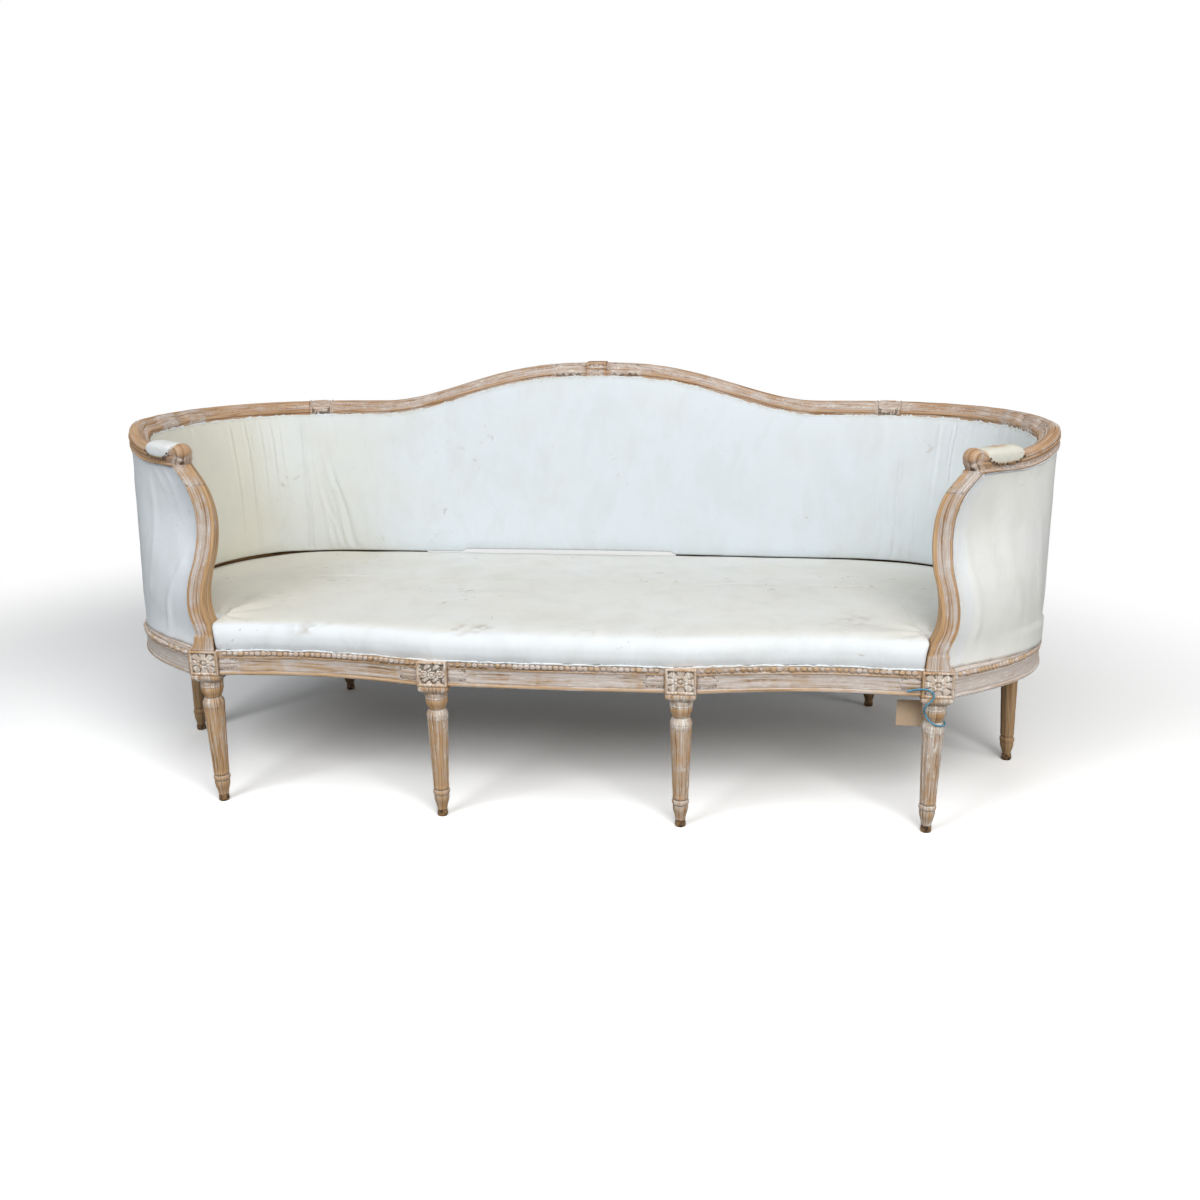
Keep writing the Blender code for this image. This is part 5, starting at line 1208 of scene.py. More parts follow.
def supportShell():
    look = supportLook
    section = np.array(look["section"] + (look["section"][0],))
    across, along, fine = (v[:-1] for v in evenSection(*section.T, 161))
    low, high = outline["railTop"] + 0.0002, underArm + 0.004
    z = np.linspace(low, high, look["rows"])
    share = (z - outline["railTop"]) / (underArm - outline["railTop"])
    centre, side, back = supportFrame(share)
    plain = ease((low + look["plinth"] - z) / 0.002)[:, None]
    front = ((along < -0.16) & (np.abs(across) < 0.5))[None, :]
    squareAlong = np.where(front[0], -0.5 + 0.03 * (np.abs(across) / 0.5) ** 12, along)
    squareAcross = np.where(np.abs(across) > 0.43, np.sign(across) * 0.5, across)
    a = mix(across[None, :], squareAcross[None, :], plain)
    spread = ease((low + look["plinth"] * 0.75 - z) / (look["plinth"] * 0.75))[:, None] ** 2
    a = a + look["spread"] * spread * np.clip((across - 0.1) / 0.3, 0, 1)[None, :] * (along < 0.2)[None, :]
    b = mix(along[None, :], squareAlong[None, :], plain)
    slim = mix(look["slim"], 0.97 + look["flare"] * ease((low + look["plinth"] - z) / look["plinth"])[:, None], plain)
    x = ((z - low - look["plinth"]) / (look["leafBand"] - look["plinth"]))[:, None] + 0 * a
    lifted = ease(x / 0.08) * ease((1 - x) / 0.15)
    leaf = leafRelief(np.clip(x, 0, 1), across[None, :] / 0.46 + 0 * a, 3)
    b = b + np.where(front, lifted * (-0.045 * leaf + 0.02 * (1 - leaf)), 0)
    top = ease((z - look["joint"]) / 0.002)[:, None]
    x = np.clip(1 - (z - look["joint"])[:, None] / 0.05, 0, 1) + 0 * a
    topLeaf = leafRelief(x, across[None, :] / 0.5 + 0 * a, 3)
    b = b + np.where(front, top * (-0.05 * topLeaf - 0.03), 0)
    plan = (centre[:, None] + side[:, None] * (a * support["width"] * slim)[..., None]
            + back[:, None] * (b * support["depth"] * mix(slim, 1, 0.5))[..., None])
    points = np.concatenate([plan, np.broadcast_to(z[:, None, None], (*a.shape, 1))], -1)
    noise = rough(points * (1, 1, 0.35), 0.006, 61)
    points[..., :2] += (back[:, None] * (0.0004 * noise)[..., None])
    valley = np.clip((0.5 - np.abs(across)) / 0.04, 0, 1) * (along < 0.11)
    valley = np.where(front[0], np.clip((along + 0.5) / 0.10, 0, 1), valley)
    hollow = 0.5 * valley[None, :] * (1 - plain) + 0.1
    hollow = mix(hollow, np.clip(0.65 - 0.55 * leaf, 0, 1), lifted * front)
    hollow = mix(hollow, np.clip(0.75 - 0.6 * topLeaf, 0, 1), top * front)
    for joint in (look["joint"], low + look["plinth"], low + 0.002):
        hollow = np.maximum(hollow, bell((z - joint) / 0.0011)[:, None])
    panel = np.clip((0.46 - np.abs(across)) / 0.05, 0, 1) * (along < -0.3)
    strip = np.where(along < -0.2, np.interp(across, *np.array(look["tones"]).T), -0.3)
    tone = mix(strip[None, :], mix(-0.4, 0.8, panel)[None, :], plain) + 0.4 * top + 0.3 * lifted
    upper = look["topLimed"] * ease((share - 0.35) / 0.3)[:, None] * ease((0.9 - share) / 0.2)[:, None]
    tone = tone + upper * (valley > 0.4)[None, :]
    run = np.stack(np.broadcast_arrays(z[:, None], fine[None, :] * support["width"], 61.0), -1)
    return closedShell(points, run, np.clip(hollow, 0, 1), tone)


for hand, side in hands:
    shell = supportShell()
    shell["tone"] = shell["tone"] - supportLook["darker"][hand]
    addPiece(f"armSupport_{hand}", sideShells([shell], side), "frame", [f"arm_support_{hand}"])
print("arm supports made")


# ---------- inside cover: back and arms in one padded run ----------

innerCover = {"rear": 0.0366, "full": 0.042, "slim": 0.0125, "end": 0.014, "low": 0.4440, "overlap": 0.0045,
              "gap": (-0.52, 0.30, 0.0065), "leftLift": 0.0030, "spacing": 0.004, "rows": 56, "taperStart": 2.45,
              "endInset": 0.02, "frayed": 0.0014, "frontClear": 0.0026, "rearClear": 0.0014, "tuck": 0.004,
              "tug": 0.0012, "swells": ((0.0022, 0.11, 0.45), (0.0008, 0.03, 0.35)),
              # the welt at each end: station, reach in stations and height in metres
              "welt": (2.945, 0.012, 0.0022),
              # folds: signed station at the top and foot, height at the top and foot, width and depth in metres
              "folds": ((-1.50, -1.497, 0.785, 0.455, 0.0026, 0.0044), (-1.478, -1.472, 0.785, 0.455, 0.0026, -0.0030),
                        (-1.065, -1.118, 0.80, 0.455, 0.0024, 0.0048), (-1.043, -1.094, 0.80, 0.455, 0.0026, -0.0032),
                        (-1.63, -1.62, 0.78, 0.50, 0.006, 0.0024), (-1.30, -1.28, 0.78, 0.50, 0.005, 0.0028),
                        (-1.235, -1.22, 0.77, 0.60, 0.004, 0.0024), (-1.385, -1.37, 0.79, 0.52, 0.0045, 0.0020),
                        (-0.97, -0.926, 0.72, 0.46, 0.004, 0.0036), (-0.945, -0.905, 0.66, 0.455, 0.005, -0.0026),
                        (-1.02, -0.985, 0.74, 0.47, 0.0045, 0.0028), (-1.00, -0.95, 0.60, 0.455, 0.004, 0.0022),
                        (-0.88, -0.86, 0.74, 0.55, 0.010, 0.0012), (0.955, 0.99, 0.78, 0.46, 0.007, 0.0022),
                        (1.05, 1.075, 0.70, 0.455, 0.0035, 0.0032), (1.20, 1.20, 0.60, 0.455, 0.004, 0.0028),
                        (1.12, 1.13, 0.58, 0.455, 0.005, 0.0022), (1.40, 1.41, 0.80, 0.70, 0.003, 0.0040),
                        (1.425, 1.43, 0.80, 0.66, 0.003, -0.0026), (0.80, 0.82, 0.78, 0.50, 0.012, 0.0012),
                        (1.30, 1.30, 0.80, 0.50, 0.008, 0.0016))}


# wrinkles: long soft valleys beside sharp ridges, each on a line from its top to its foot
def foldDepth(folds, station, z, metres):
    total = np.zeros_like(z)
    for top, foot, high, low, width, depth in folds:
        share = np.clip((high - z) / (high - low), -0.3, 1.3)
        line = mix(top, foot, share) + 0.004 * np.sin(share * 7 + top * 9)
        away = (station - line) * metres
        body = ease((share + 0.15) / 0.25) * ease((1.15 - share) / 0.25)
        ridge = bell(away / width) - 0.75 * bell((away - width * 1.9) / (width * 1.4))
        total = total + depth * ridge * body
    return total


def innerCoverShell():
    c, o = innerCover, outline
    stations, distance = evenStations(seatLine, -2.965, 2.965, c["spacing"])
    v = np.linspace(0, 1, c["rows"])
    v = 0.7 * v + 0.3 * ease(v)
    edgeNoise, fringe = roughLine(distance, 0.009, 71), roughLine(distance, 0.030, 72)
    railUnder = (topHeight(stations) - o["topRailHeight"])[:, None]
    start, end, lift = c["gap"]
    low = c["low"] + lift * (ease((stations - start) / 0.02) * ease((end - stations) / 0.02))[:, None]
    low = low + c["leftLift"] * ease((-stations - 1.05) / 0.3)[:, None]
    z = mix(low, railUnder + c["overlap"] + c["frayed"] * (edgeNoise + fringe)[:, None], v[None, :])
    station = np.broadcast_to(stations[:, None], z.shape)
    taper = ease((np.abs(station) - c["taperStart"]) / (3 - c["taperStart"]))
    point, inward = skinFrame(station, np.minimum(z, railUnder))
    rear = mix(c["rear"], c["endInset"] + 0.0006, taper)
    full, slim = mix(c["full"], c["end"], taper), mix(c["slim"], c["end"], taper)
    body = np.interp(v, (0.0, 0.05, 0.15, 0.35, 0.6, 0.85, 0.96, 1.0), (0.66, 0.93, 1.0, 0.95, 0.78, 0.45, 0.16, 0.0))
    body = np.convolve(np.pad(body, 2, mode="edge"), np.ones(5) / 5, "valid")
    depth = rear + mix(slim, full, body[None, :])
    over = ease((z - railUnder + 0.001) / 0.002) * (1 - taper)
    depth = mix(depth, np.maximum(o["topRailDepth"] + c["frontClear"], depth - c["tuck"]), over)
    flat = clothPlace(distance, z)
    soft = swellsOf(c["swells"], flat, 73)
    quiet = ease(v / 0.05) * ease((1 - v) / 0.06)
    depth = depth + (soft + foldDepth(c["folds"], station, z, 0.62)) * quiet[None, :]
    tug = c["tug"] * np.abs(rough(flat * (1, 0, 1), 0.016, 75)) * bell((1 - v) / 0.08)[None, :]
    depth = depth - tug * (1 - over)
    at, reach, high = c["welt"]
    depth = depth + high * bell((np.abs(station) - at) / reach)
    behind = mix(rear, np.maximum(rear, o["topRailDepth"] + c["rearClear"]), over)
    # darker in a thin band along the top edge under the top rail and a fainter one along the foot, patchy along the
    # length
    darkening = (0.9 * bell((1 - v) / 0.010) + 0.3 * bell(v / 0.02))[None, :] * (0.4 + 0.6 * np.abs(edgeNoise))[:, None]
    # warmer and darker towards the left arm, partly dirt and partly painted shade on the left end; a little warmer
    # towards the right
    tone = 0.45 * ease((-station - 0.55) / 0.5) + 0.55 * ease((-station - 1.05) / 0.6)
    tone = tone + 0.15 * ease((station - 0.5) / 0.8)
    face, rearFace = setBack(point, inward, depth, z), setBack(point, inward, behind, z)
    return twoFaceShell(face, rearFace, clothPlace(distance, z, 71), darkening, tone)


# torn edge of the cloth along the foot of the top rail: a thin strip whose two edges wander and break into points
def tornEdgeShell(pointOf, distance, low, high, reach, seed):
    coarse, fine = roughLine(distance, 0.017, seed), roughLine(distance, 0.0042, seed + 1)
    top = high + reach * (0.55 * coarse + 0.75 * np.maximum(fine, 0) ** 2 * 1.6)
    foot = low - reach * 0.4 * np.abs(roughLine(distance, 0.012, seed + 2))
    z = mix(foot[:, None], top[:, None], np.linspace(0, 1, 4)[None, :])
    flat = clothPlace(distance, z)
    lift = 0.0006 * rough(flat, 0.008, seed + 3)
    face, rear = pointOf(z, 0.0010 + lift + 0.0006), pointOf(z, lift * 0.5)
    hollow = 0.35 * np.clip(rough(flat, 0.02, seed + 4), 0, 1)
    return twoFaceShell(face, rear, clothPlace(distance, z, seed), hollow, 0.25)


tear = {"end": 2.6, "spacing": 0.0026, "clear": 0.0018, "low": -0.002, "high": 0.0055, "reach": 0.0034}


def topTear():
    stations, distance = evenStations(topLine, -tear["end"], tear["end"], tear["spacing"])
    point, _, inward = runFrame(topLine, stations)
    under = topHeight(stations) - outline["topRailHeight"]

    def pointOf(z, lift):
        return setBack(point[:, None], inward[:, None], outline["topRailDepth"] + tear["clear"] + lift, z)

    return tornEdgeShell(pointOf, distance, under + tear["low"], under + tear["high"], tear["reach"], 76)


innerPiece = addPiece("insideCover", [innerCoverShell(), topTear()], "calico",
                      ["inside_back", "inside_arm_left", "inside_arm_right"])
print("inside cover made")


# ---------- outside covers: calico stretched over the frame ----------

outerCover = {"inset": 0.0042, "thickness": 0.0012, "spacing": 0.008, "rows": 56, "end": 2.984, "hem": 0.0022,
              "hemLift": 0.0014, "backFoot": 0.4555, "most": 0.0008, "bend": 0.0004,
              "waver": 0.0012, "tucked": 0.0002, "fullness": 0.001,
              "swells": ((0.0016, 0.13, 0.5), (0.0007, 0.04, 0.4)),
              "folds": {"left": ((2.88, 2.74, 0.56, 0.395, 0.009, -0.0062), (2.62, 2.60, 0.72, 0.45, 0.014, -0.0036),
                                 (2.30, 2.36, 0.72, 0.42, 0.012, -0.0034), (2.80, 2.83, 0.78, 0.64, 0.010, -0.0034),
                                 (2.68, 2.74, 0.77, 0.70, 0.008, -0.0030)),
                        "right": ((2.90, 2.86, 0.66, 0.40, 0.010, -0.0036), (2.45, 2.38, 0.66, 0.42, 0.018, -0.0026),
                                  (2.70, 2.60, 0.70, 0.45, 0.020, -0.0024), (2.20, 2.26, 0.70, 0.45, 0.016, -0.0026))},
              "ledge": (0.420, 0.0045)}


# a tube along a path [row, xyz] with a radius for every [row, column]
def tubeShell(path, radius, around):
    tangent = np.gradient(path, axis=0)
    tangent /= np.linalg.norm(tangent, axis=1, keepdims=True)
    normal = np.cross(tangent, around)
    normal /= np.linalg.norm(normal, axis=1, keepdims=True)
    other = np.cross(tangent, normal)
    length = pathLength(path)
    angle = np.arange(radius.shape[1]) / radius.shape[1] * 2 * np.pi
    ring = normal[:, None] * np.cos(angle)[None, :, None] + other[:, None] * np.sin(angle)[None, :, None]
    run = np.stack(np.broadcast_arrays(length[:, None], angle[None, :] * radius.mean(), 0.0), -1)
    return closedShell(path[:, None] + ring * radius[..., None], run), length[-1]


# rolled hem of an arm's outside cover: along under the top rail, then down beside the arm support
def hemShells(seed):
    c = outerCover
    stations = evenStations(topLine, 1.02, 2.955, 0.004)[0]
    high = topHeight(stations) - outline["topRailHeight"] - c["hem"]
    point, inward = skinFrame(stations, high)
    top = np.column_stack([point + inward * (c["inset"] - c["hemLift"]), high])
    z = np.linspace(float(high[-1]), outline["railTop"] + c["hem"], 110)
    share = (z - outline["railTop"]) / (underArm - outline["railTop"])
    centre, side, back = supportFrame(share)
    point, inward = skinFrame(np.full(len(z), c["end"]), z)
    behind = np.einsum("ij,ij->i", point + inward * (c["inset"] - c["hemLift"]) - centre, back)
    slim = mix(0.97, supportLook["slim"], ease((z - outline["railTop"] - 0.03) / 0.01))
    edge = support["width"] / 2 * slim + c["hem"] * 0.55
    down = np.column_stack([centre + side * edge[:, None] + back * behind[:, None], z])
    shells = []
    for path, around in ((top, (0, 0, 1.0)), (down, (1.0, 0.3, 0))):
        fray = roughLine(np.arange(len(path)) * 0.004, 0.009, seed)
        shells.append(tubeShell(path, c["hem"] * (1 + 0.35 * fray)[:, None] * np.ones((1, 10)), around)[0])
    return shells


# one length of cloth between two stations: skin, minus an inset, with a slight belly and a few soft pulls
def outerCoverShell(start, end, low, seed, spacing, tone, folds=(), ledge=0.0):
    c = outerCover
    stations, distance = evenStations(topLine, start, end, spacing)
    v = np.linspace(0, 1, c["rows"])
    station = np.broadcast_to(stations[:, None], (len(stations), len(v)))
    noise = roughLine(distance, 0.012, seed)
    low = low + c["waver"] * noise
    high = topHeight(stations) - outline["topRailHeight"] + c["tucked"]
    z = mix(low[:, None], high[:, None], v[None, :])
    point, inward = skinFrame(station, z)
    flat = clothPlace(distance, z)
    soft = swellsOf(c["swells"], flat, seed + 1)
    quiet = ease(v / 0.08) * ease((1 - v) / 0.08)
    fold = soft + c["fullness"] + foldDepth(folds, station, z, 0.42)
    fold = c["most"] - c["bend"] * np.log1p(np.exp((c["most"] - fold) / c["bend"]))
    depth = c["inset"] + fold * quiet[None, :]
    depth = depth - ledge * ease((c["ledge"][0] - z + 0.004 * noise[:, None]) / 0.004) * ease((2.75 - station) / 0.4)
    face, rear = (setBack(point, inward, depth + back, z) for back in (0, c["thickness"]))
    hollow = (0.5 * bell(v / 0.012) + 0.4 * bell((1 - v) / 0.012))[None, :]
    width = np.linalg.norm(np.diff(face, axis=0), axis=-1).sum(0).max()
    height = np.linalg.norm(np.diff(face, axis=1), axis=-1).sum(1).max()
    area = np.linalg.norm(np.cross(np.diff(face, axis=0)[:, :-1], np.diff(face, axis=1)[:-1]), axis=-1).sum()
    tone = tone - 0.35 * bell((station - 2.93) / 0.035)
    shell = twoFaceShell(face, rear, clothPlace(distance, z, seed), hollow, tone)
    return shell, float(width), float(height), min(float(area), float(width * height))


def makeOuterCovers():
    c = outerCover
    shell, width, height, area = outerCoverShell(-0.999, 0.999, c["backFoot"], 81, 0.009, 0.15)
    piece = addPiece("outsideCover_back", [shell], "outer", ["outside_back_cover"])
    for hand, side in hands:
        shell, width, height, area = outerCoverShell(
            1.001, c["end"], outline["railTop"] + 0.0005, 85 + side, 0.006, 0.30 + 0.28 * side, c["folds"][hand],
            c["ledge"][1] * (side > 0))
        piece = addPiece(f"outsideCover_arm_{hand}", sideShells([shell] + hemShells(83 + side), side), "outer",
                         [f"outside_arm_cover_{hand}"])


makeOuterCovers()
print("outside covers made")


# ---------- seat ----------

seat = {"edge": 0.044, "front": 0.0055, "top": 0.437, "crown": 0.011, "foot": 0.3725, "spine": 0.73, "around": 620,
        "rows": 96, "tight": 1.5, "ridge": 0.0022, "pull": 0.0018, "waver": 0.0015, "under": 0.0008,
        # the section from the tacked edge up the side, over the roll and in to the middle line: shares up and inwards
        "rise": (0.0, .06, .2, .38, .55, .68, .78, .86, .92, .965, .99, 1.0, 1.0, 1.0, 1.0),
        "move": (0.0, -.004, -.010, -.011, -.007, .002, .014, .030, .050, .078, .115, .17, .34, .62, .985),
        "swells": ((0.0026, 0.26, 1), (0.0011, 0.09, 0.7)), "hem": ((0.0011, 0.010), (0.0016, 0.06)),
        # the creases at the two front corners, and the rolled hem
        "crease": {"x": 0.775, "y": -0.31, "dip": 0.0020, "ray": 0.0034},
        "roll": {"start": -0.335, "out": 0.0006, "drop": 0.0004, "wave": 0.0011, "radius": 0.0016},
        # place, reach and strength of the marks on the cloth
        "marks": ((-0.56, -0.365, 0.030, 0.8), (-0.53, -0.350, 0.018, 0.7), (-0.20, -0.372, 0.030, 0.9),
                  (-0.16, -0.362, 0.016, 0.8), (0.06, -0.375, 0.020, 0.5), (0.64, -0.24, 0.045, 0.38),
                  (0.60, -0.28, 0.05, 0.25), (0.36, 0.02, 0.012, 0.6), (-0.70, -0.20, 0.08, 0.22),
                  (-0.42, -0.10, 0.010, 0.7), (0.52, 0.12, 0.009, 0.7))}


# the seat's outline from above, as an even loop of points that starts at the middle of the back
def seatLoop(count):
    o = outline
    s = np.concatenate([np.linspace(0, 1, 60), np.linspace(1, 2, 60)[1:], np.linspace(2, 2.9, 60)[1:]])
    share = np.zeros_like(s)
    half = shellLine(s, share) + headingOf(lambda t: shellLine(t, share), s)[1] * seat["edge"]
    supportSide = supportFoot[0] - support["width"] / 2 - 0.0015
    at = (seat["top"] + 0.009 - o["railTop"]) / (underArm - o["railTop"])
    supportBack = float(supportFrame(np.array(at))[0][1]) + support["depth"] / 2 + 0.003
    half = half[(half[:, 0] < supportSide) | (half[:, 1] > supportBack)]
    bend = np.linspace(0, 1, 8)[1:, None]
    half = np.vstack([half, mix(half[-1], np.array((supportSide, supportBack)), bend)])
    cornerFace, middleFace = o["cornerLegY"] - o["block"] / 2, o["middleLegY"] - o["block"] / 2
    bays = ((supportSide, cornerFace, o["frontHollow"], np.linspace(0, 1, 50)),
            (-o["middleLegX"], middleFace, o["frontBow"], np.linspace(1, 0.5, 40)[1:]))
    for x, y0, swell, t in bays:
        y = mix(y0, middleFace, t) + o["railInset"] + swell * np.sin(np.pi * t) + seat["front"]
        half = np.vstack([half, np.stack([mix(x, o["middleLegX"], t), y], -1)])
    whole = np.vstack([half, (half * (-1, 1))[-2:0:-1], half[:1]])
    length = pathLength(whole)
    even = np.linspace(0, length[-1], count + 1)[:-1]
    loop = np.stack([np.interp(even, length, whole[:, k]) for k in (0, 1)], -1)
    return (np.roll(loop, 1, 0) + 2 * loop + np.roll(loop, -1, 0)) / 4, even


def seatShell():
    g = seat
    loop, even = seatLoop(g["around"])
    spineX = np.clip(loop[:, 0], -g["spine"], g["spine"])
    spine = np.stack([spineX, np.zeros(len(loop))], -1)
    rise, move = np.array(g["rise"]), np.array(g["move"])
    place = pathLength(np.column_stack([rise * 0.066, move * 0.3]))
    fine = np.concatenate([np.linspace(0, place[10], 44)[:-1], np.linspace(place[10], place[-1], g["rows"] - 43)])
    up, inward = smoothTable(fine, place, rise), smoothTable(fine, place, move)
    front = ease((-loop[:, 1] - 0.27) / 0.05)
    tight = np.where(inward > 0, np.abs(inward) ** g["tight"], inward * 0.4)
    share = mix(tight[:, None], inward[:, None], front[None, :])
    plan = mix(loop[None], spine[None], share[..., None])
    z = mix(g["foot"], g["top"], up)[:, None] + g["crown"] * ease(inward)[:, None] + np.zeros(len(loop))
    level = np.clip((z[:, 0] - outline["railTop"]) / (underArm - outline["railTop"]), 0, 1)
    lean = supportFrame(level)[0][:, 0] - supportFoot[0]
    near = ease((np.abs(loop[:, 0]) - 0.69) / 0.06) * ease((-loop[:, 1] - 0.275) / 0.02)
    fade = (1 - ease(inward / 0.10))[:, None]
    plan[..., 0] += np.sign(loop[:, 0])[None, :] * near[None, :] * np.maximum(lean, 0)[:, None] * fade
    onTop = ease((up - 0.9) / 0.1)[:, None]
    flat = np.stack([plan[..., 0], plan[..., 1], 0 * z], -1)
    z = z + onTop * swellsOf(g["swells"], flat, 91) * ease(inward / 0.1)[:, None]
    sideNoise = roughLine(even, 0.05, 93)
    outward = loop - spine
    outward = outward / np.linalg.norm(outward, axis=1, keepdims=True)
    onSide = np.sin(np.pi * np.clip(up, 0, 1))[:, None]
    plan = plan + (outward * (g["waver"] * sideNoise)[:, None])[None] * onSide[..., None]
    hem = sum(high * roughLine(even, size, 94 + i) for i, (high, size) in enumerate(g["hem"]))
    z[:6] += (hem * front)[None, :] * np.linspace(1, 0, 6)[:, None]
    # creases that run in from the two front corners, where the cloth is cut round the supports
    crease = g["crease"]
    for side in (-1, 1):
        away = plan - np.array((side * crease["x"], crease["y"]))
        r, a = np.hypot(away[..., 0], away[..., 1]), np.arctan2(away[..., 1], -side * away[..., 0])
        z -= onTop * crease["dip"] * bell(r / 0.05)
        z += onTop * crease["ray"] * bell(r / 0.11) * np.cos(a * 7 + side) * ease(r / 0.02)
    # slack ridges across the top and short pulls above the tacks
    ridge = (1 - np.abs(rough(flat * (0.55, 1.3, 1), 0.15, 96))) ** 7 * ease(rough(flat, 0.4, 97) * 2 + 0.2)
    z += onTop * g["ridge"] * ridge * ease(inward / 0.08)[:, None]
    pull = np.abs(roughLine(even, 0.016, 98))
    fade = bell(up / 0.22)[:, None] * front[None, :]
    plan = plan - (outward * g["pull"])[None] * (fade * pull[None, :])[..., None]
    spread = np.stack([plan[..., 0], plan[..., 1] - (1 - up)[:, None] * 0.07, 0 * z], -1)
    run = spread + (0, 0, 91)
    hollow = (0.35 * bell(np.arange(len(up)) / 1.5))[:, None] * (0.4 + 0.6 * front)[None, :]
    blot = np.clip(0.35 + 1.1 * rough(spread, 0.012, 102) + 0.6 * rough(spread, 0.035, 103), 0, 1.4)
    for x, y, reach, strength in g["marks"]:
        hollow = hollow + strength * blot * np.exp(-(((spread[..., 0] - x) / reach) ** 2)
                                                   - ((spread[..., 1] - y) / (reach * 0.8)) ** 2)
    hollow = np.clip(hollow, 0, 1)
    # painted shade mixed with yellowing: the top of the seat takes the darker warm colour to offset the light from
    # above, more of it towards the left end as painted shade there, a little towards the right; the front and sides
    # stay pale
    shadeAndYellowing = 0.55 + 0.5 * ease((-plan[..., 0] - 0.35) / 0.4) + 0.12 * ease((plan[..., 0] - 0.4) / 0.3)
    tone = ease((up - 0.82) / 0.16)[:, None] * shadeAndYellowing
    points = np.concatenate([plan, z[..., None]], -1)
    under = points[0] * (1, 1, 0) + (0, 0, g["foot"] + g["under"])
    under = mix(np.concatenate([spine, under[:, 2:]], 1), under, 0.9)
    run, hollow, tone = (np.concatenate([v[:1], v]) for v in (run, hollow, tone))
    return closedShell(np.concatenate([under[None], points]), run, hollow, tone)


# the torn hem of the seat's cloth along its front
def seatHem():
    roll = seat["roll"]
    path = seatLoop(seat["around"] * 2)[0]
    path = path[path[:, 1] < roll["start"]]
    x, y = path[np.argsort(path[:, 0])].T
    wave = roughLine(x, 0.011, 99) + 0.8 * roughLine(x, 0.05, 100)
    path = np.column_stack([x, y - roll["out"], seat["foot"] - roll["drop"] + roll["wave"] * wave])
    radius = roll["radius"] * (1 + 0.45 * roughLine(x, 0.006, 101))
    return tubeShell(path, radius[:, None] * np.ones((1, 10)), (0, 0, 1.0))[0]


seatPiece = addPiece("seatCushion", [seatShell(), seatHem()], "seat", ["seat_pad"])
print("seat made")


# ---------- arm pads ----------

armPad = {"start": 2.68, "end": 2.952, "blunt": 5, "rows": 90, "around": 56, "nails": 11, "nail": 0.0030,
          "nailOut": 0.0012, "nailUp": 0.0022, "swells": ((0.0010, 0.020, 1), (0.0005, 0.007, 1)),
          "edgeSwell": 0.0006, "torn": 0.0016,
          # over the rail from its inner to its outer face: depth from the outer face, height over the rail, in metres
          "section": ((.0435, -.0060), (.0458, .0), (.0452, .0050), (.0400, .0098), (.0300, .0122), (.0190, .0126),
                      (.0090, .0110), (.0022, .0065), (-.0022, .0), (-.0036, -.0090), (-.0038, -.0170),
                      (-.0028, -.0240))}


# how far up and how far down the pad reaches at a share of its length: blunt at both ends
def padReach(share):
    away = np.abs(2 * share - 1)
    return np.sqrt(np.clip(1 - away ** armPad["blunt"], 0, 1)), np.clip(1 - away ** 3, 0, 1) ** 0.6


def armPadShell(seed, stain):
    p = armPad
    share = (1 - np.cos(np.linspace(0, np.pi, p["rows"]))) / 2
    stations = mix(p["start"], p["end"], share)
    point, _, inward = runFrame(topLine, stations)
    key = np.linspace(0, 1, len(p["section"]))
    across = np.linspace(0, 1, p["around"])
    d = np.stack([smoothTable(across, key, np.array(p["section"])[:, k]) for k in (0, 1)])
    up, down = (r[:, None] for r in padReach(share))
    middle = outline["topRailDepth"] / 2
    depth = middle + (d[0] - middle)[None, :] * mix(0.80, 1.0, up)
    up = up * mix(1.08, 0.80, share)[:, None]
    height = np.where(d[1] > 0, d[1][None, :] * mix(0.12, 1.0, up), d[1][None, :] * mix(0.05, 1.0, down))
    flat = np.stack([share[:, None] * 0.12 + 0 * depth, across[None, :] * 0.07 + 0 * depth, 0 * depth], -1)
    bump = swellsOf(p["swells"], flat, seed)
    height = height + bump * up
    depth = depth - p["edgeSwell"] * rough(flat, 0.006, seed + 2) * (across > 0.75)[None, :]
    torn = p["torn"] * rough(flat * (1, 0, 0), 0.006, seed + 3) * ease((across - 0.88) / 0.12)[None, :]
    height = height + torn * down
    base = topHeight(stations)[:, None]
    points = setBack(point[:, None], inward[:, None], depth, base + height)
    run = np.stack([flat[..., 0], flat[..., 1], 0 * depth + float(seed)], -1)
    edge = np.maximum(ease((across - 0.86) / 0.10)[None, :], ease((0.10 - across) / 0.08)[None, :])
    edge = np.maximum(edge, ease((np.abs(2 * share - 1) - 0.90) / 0.08)[:, None])
    worn = bell((across - 0.44) / 0.09)[None, :] * (ease((share - 0.12) / 0.2) * ease((0.92 - share) / 0.2))[:, None]
    worn = stain * worn * np.clip(0.6 + rough(flat, 0.02, seed + 5), 0, 1.3)
    return closedShell(points, run, np.clip(0.70 * edge + worn, 0, 1), mix(0.9, 0.1, across)[None, :])


# nail heads along the outer edge and up the front end
def nailShell(seed):
    p = armPad
    share = (np.arange(p["nails"]) + 0.6) / p["nails"]
    share = share + 0.012 * roughLine(share, 0.05, seed)
    down = padReach(share)[1]
    stations = mix(p["start"], p["end"], share)
    point, travel, inward = runFrame(topLine, stations)
    edge = p["section"][-1]
    at = point + inward * (edge[0] - p["nailOut"])
    level = topHeight(stations) + mix(0.0, edge[1] + p["nailUp"], down)
    outward, along = (np.column_stack([v, 0 * share]) for v in (-inward, travel))
    return pearlShells(np.column_stack([at, level]), outward, along, p["nail"], seed)


for hand, side in hands:
    shell = armPadShell(95 + side, 0.5 + 0.5 * side)
    # painted light: the left pad takes the paler calico of the outside covers to lift it out of its shade; the right
    # pad keeps the pad calico and its worn stain
    pad = addPiece(f"armPad_{hand}", sideShells([shell], side), "pad" if side > 0 else "outer",
                   [f"arm_pad_{hand}"])
    addPiece(f"armPadTacks_{hand}", sideShells([nailShell(97)], side), "metal")
print("arm pads made")


# ---------- tag and string ----------

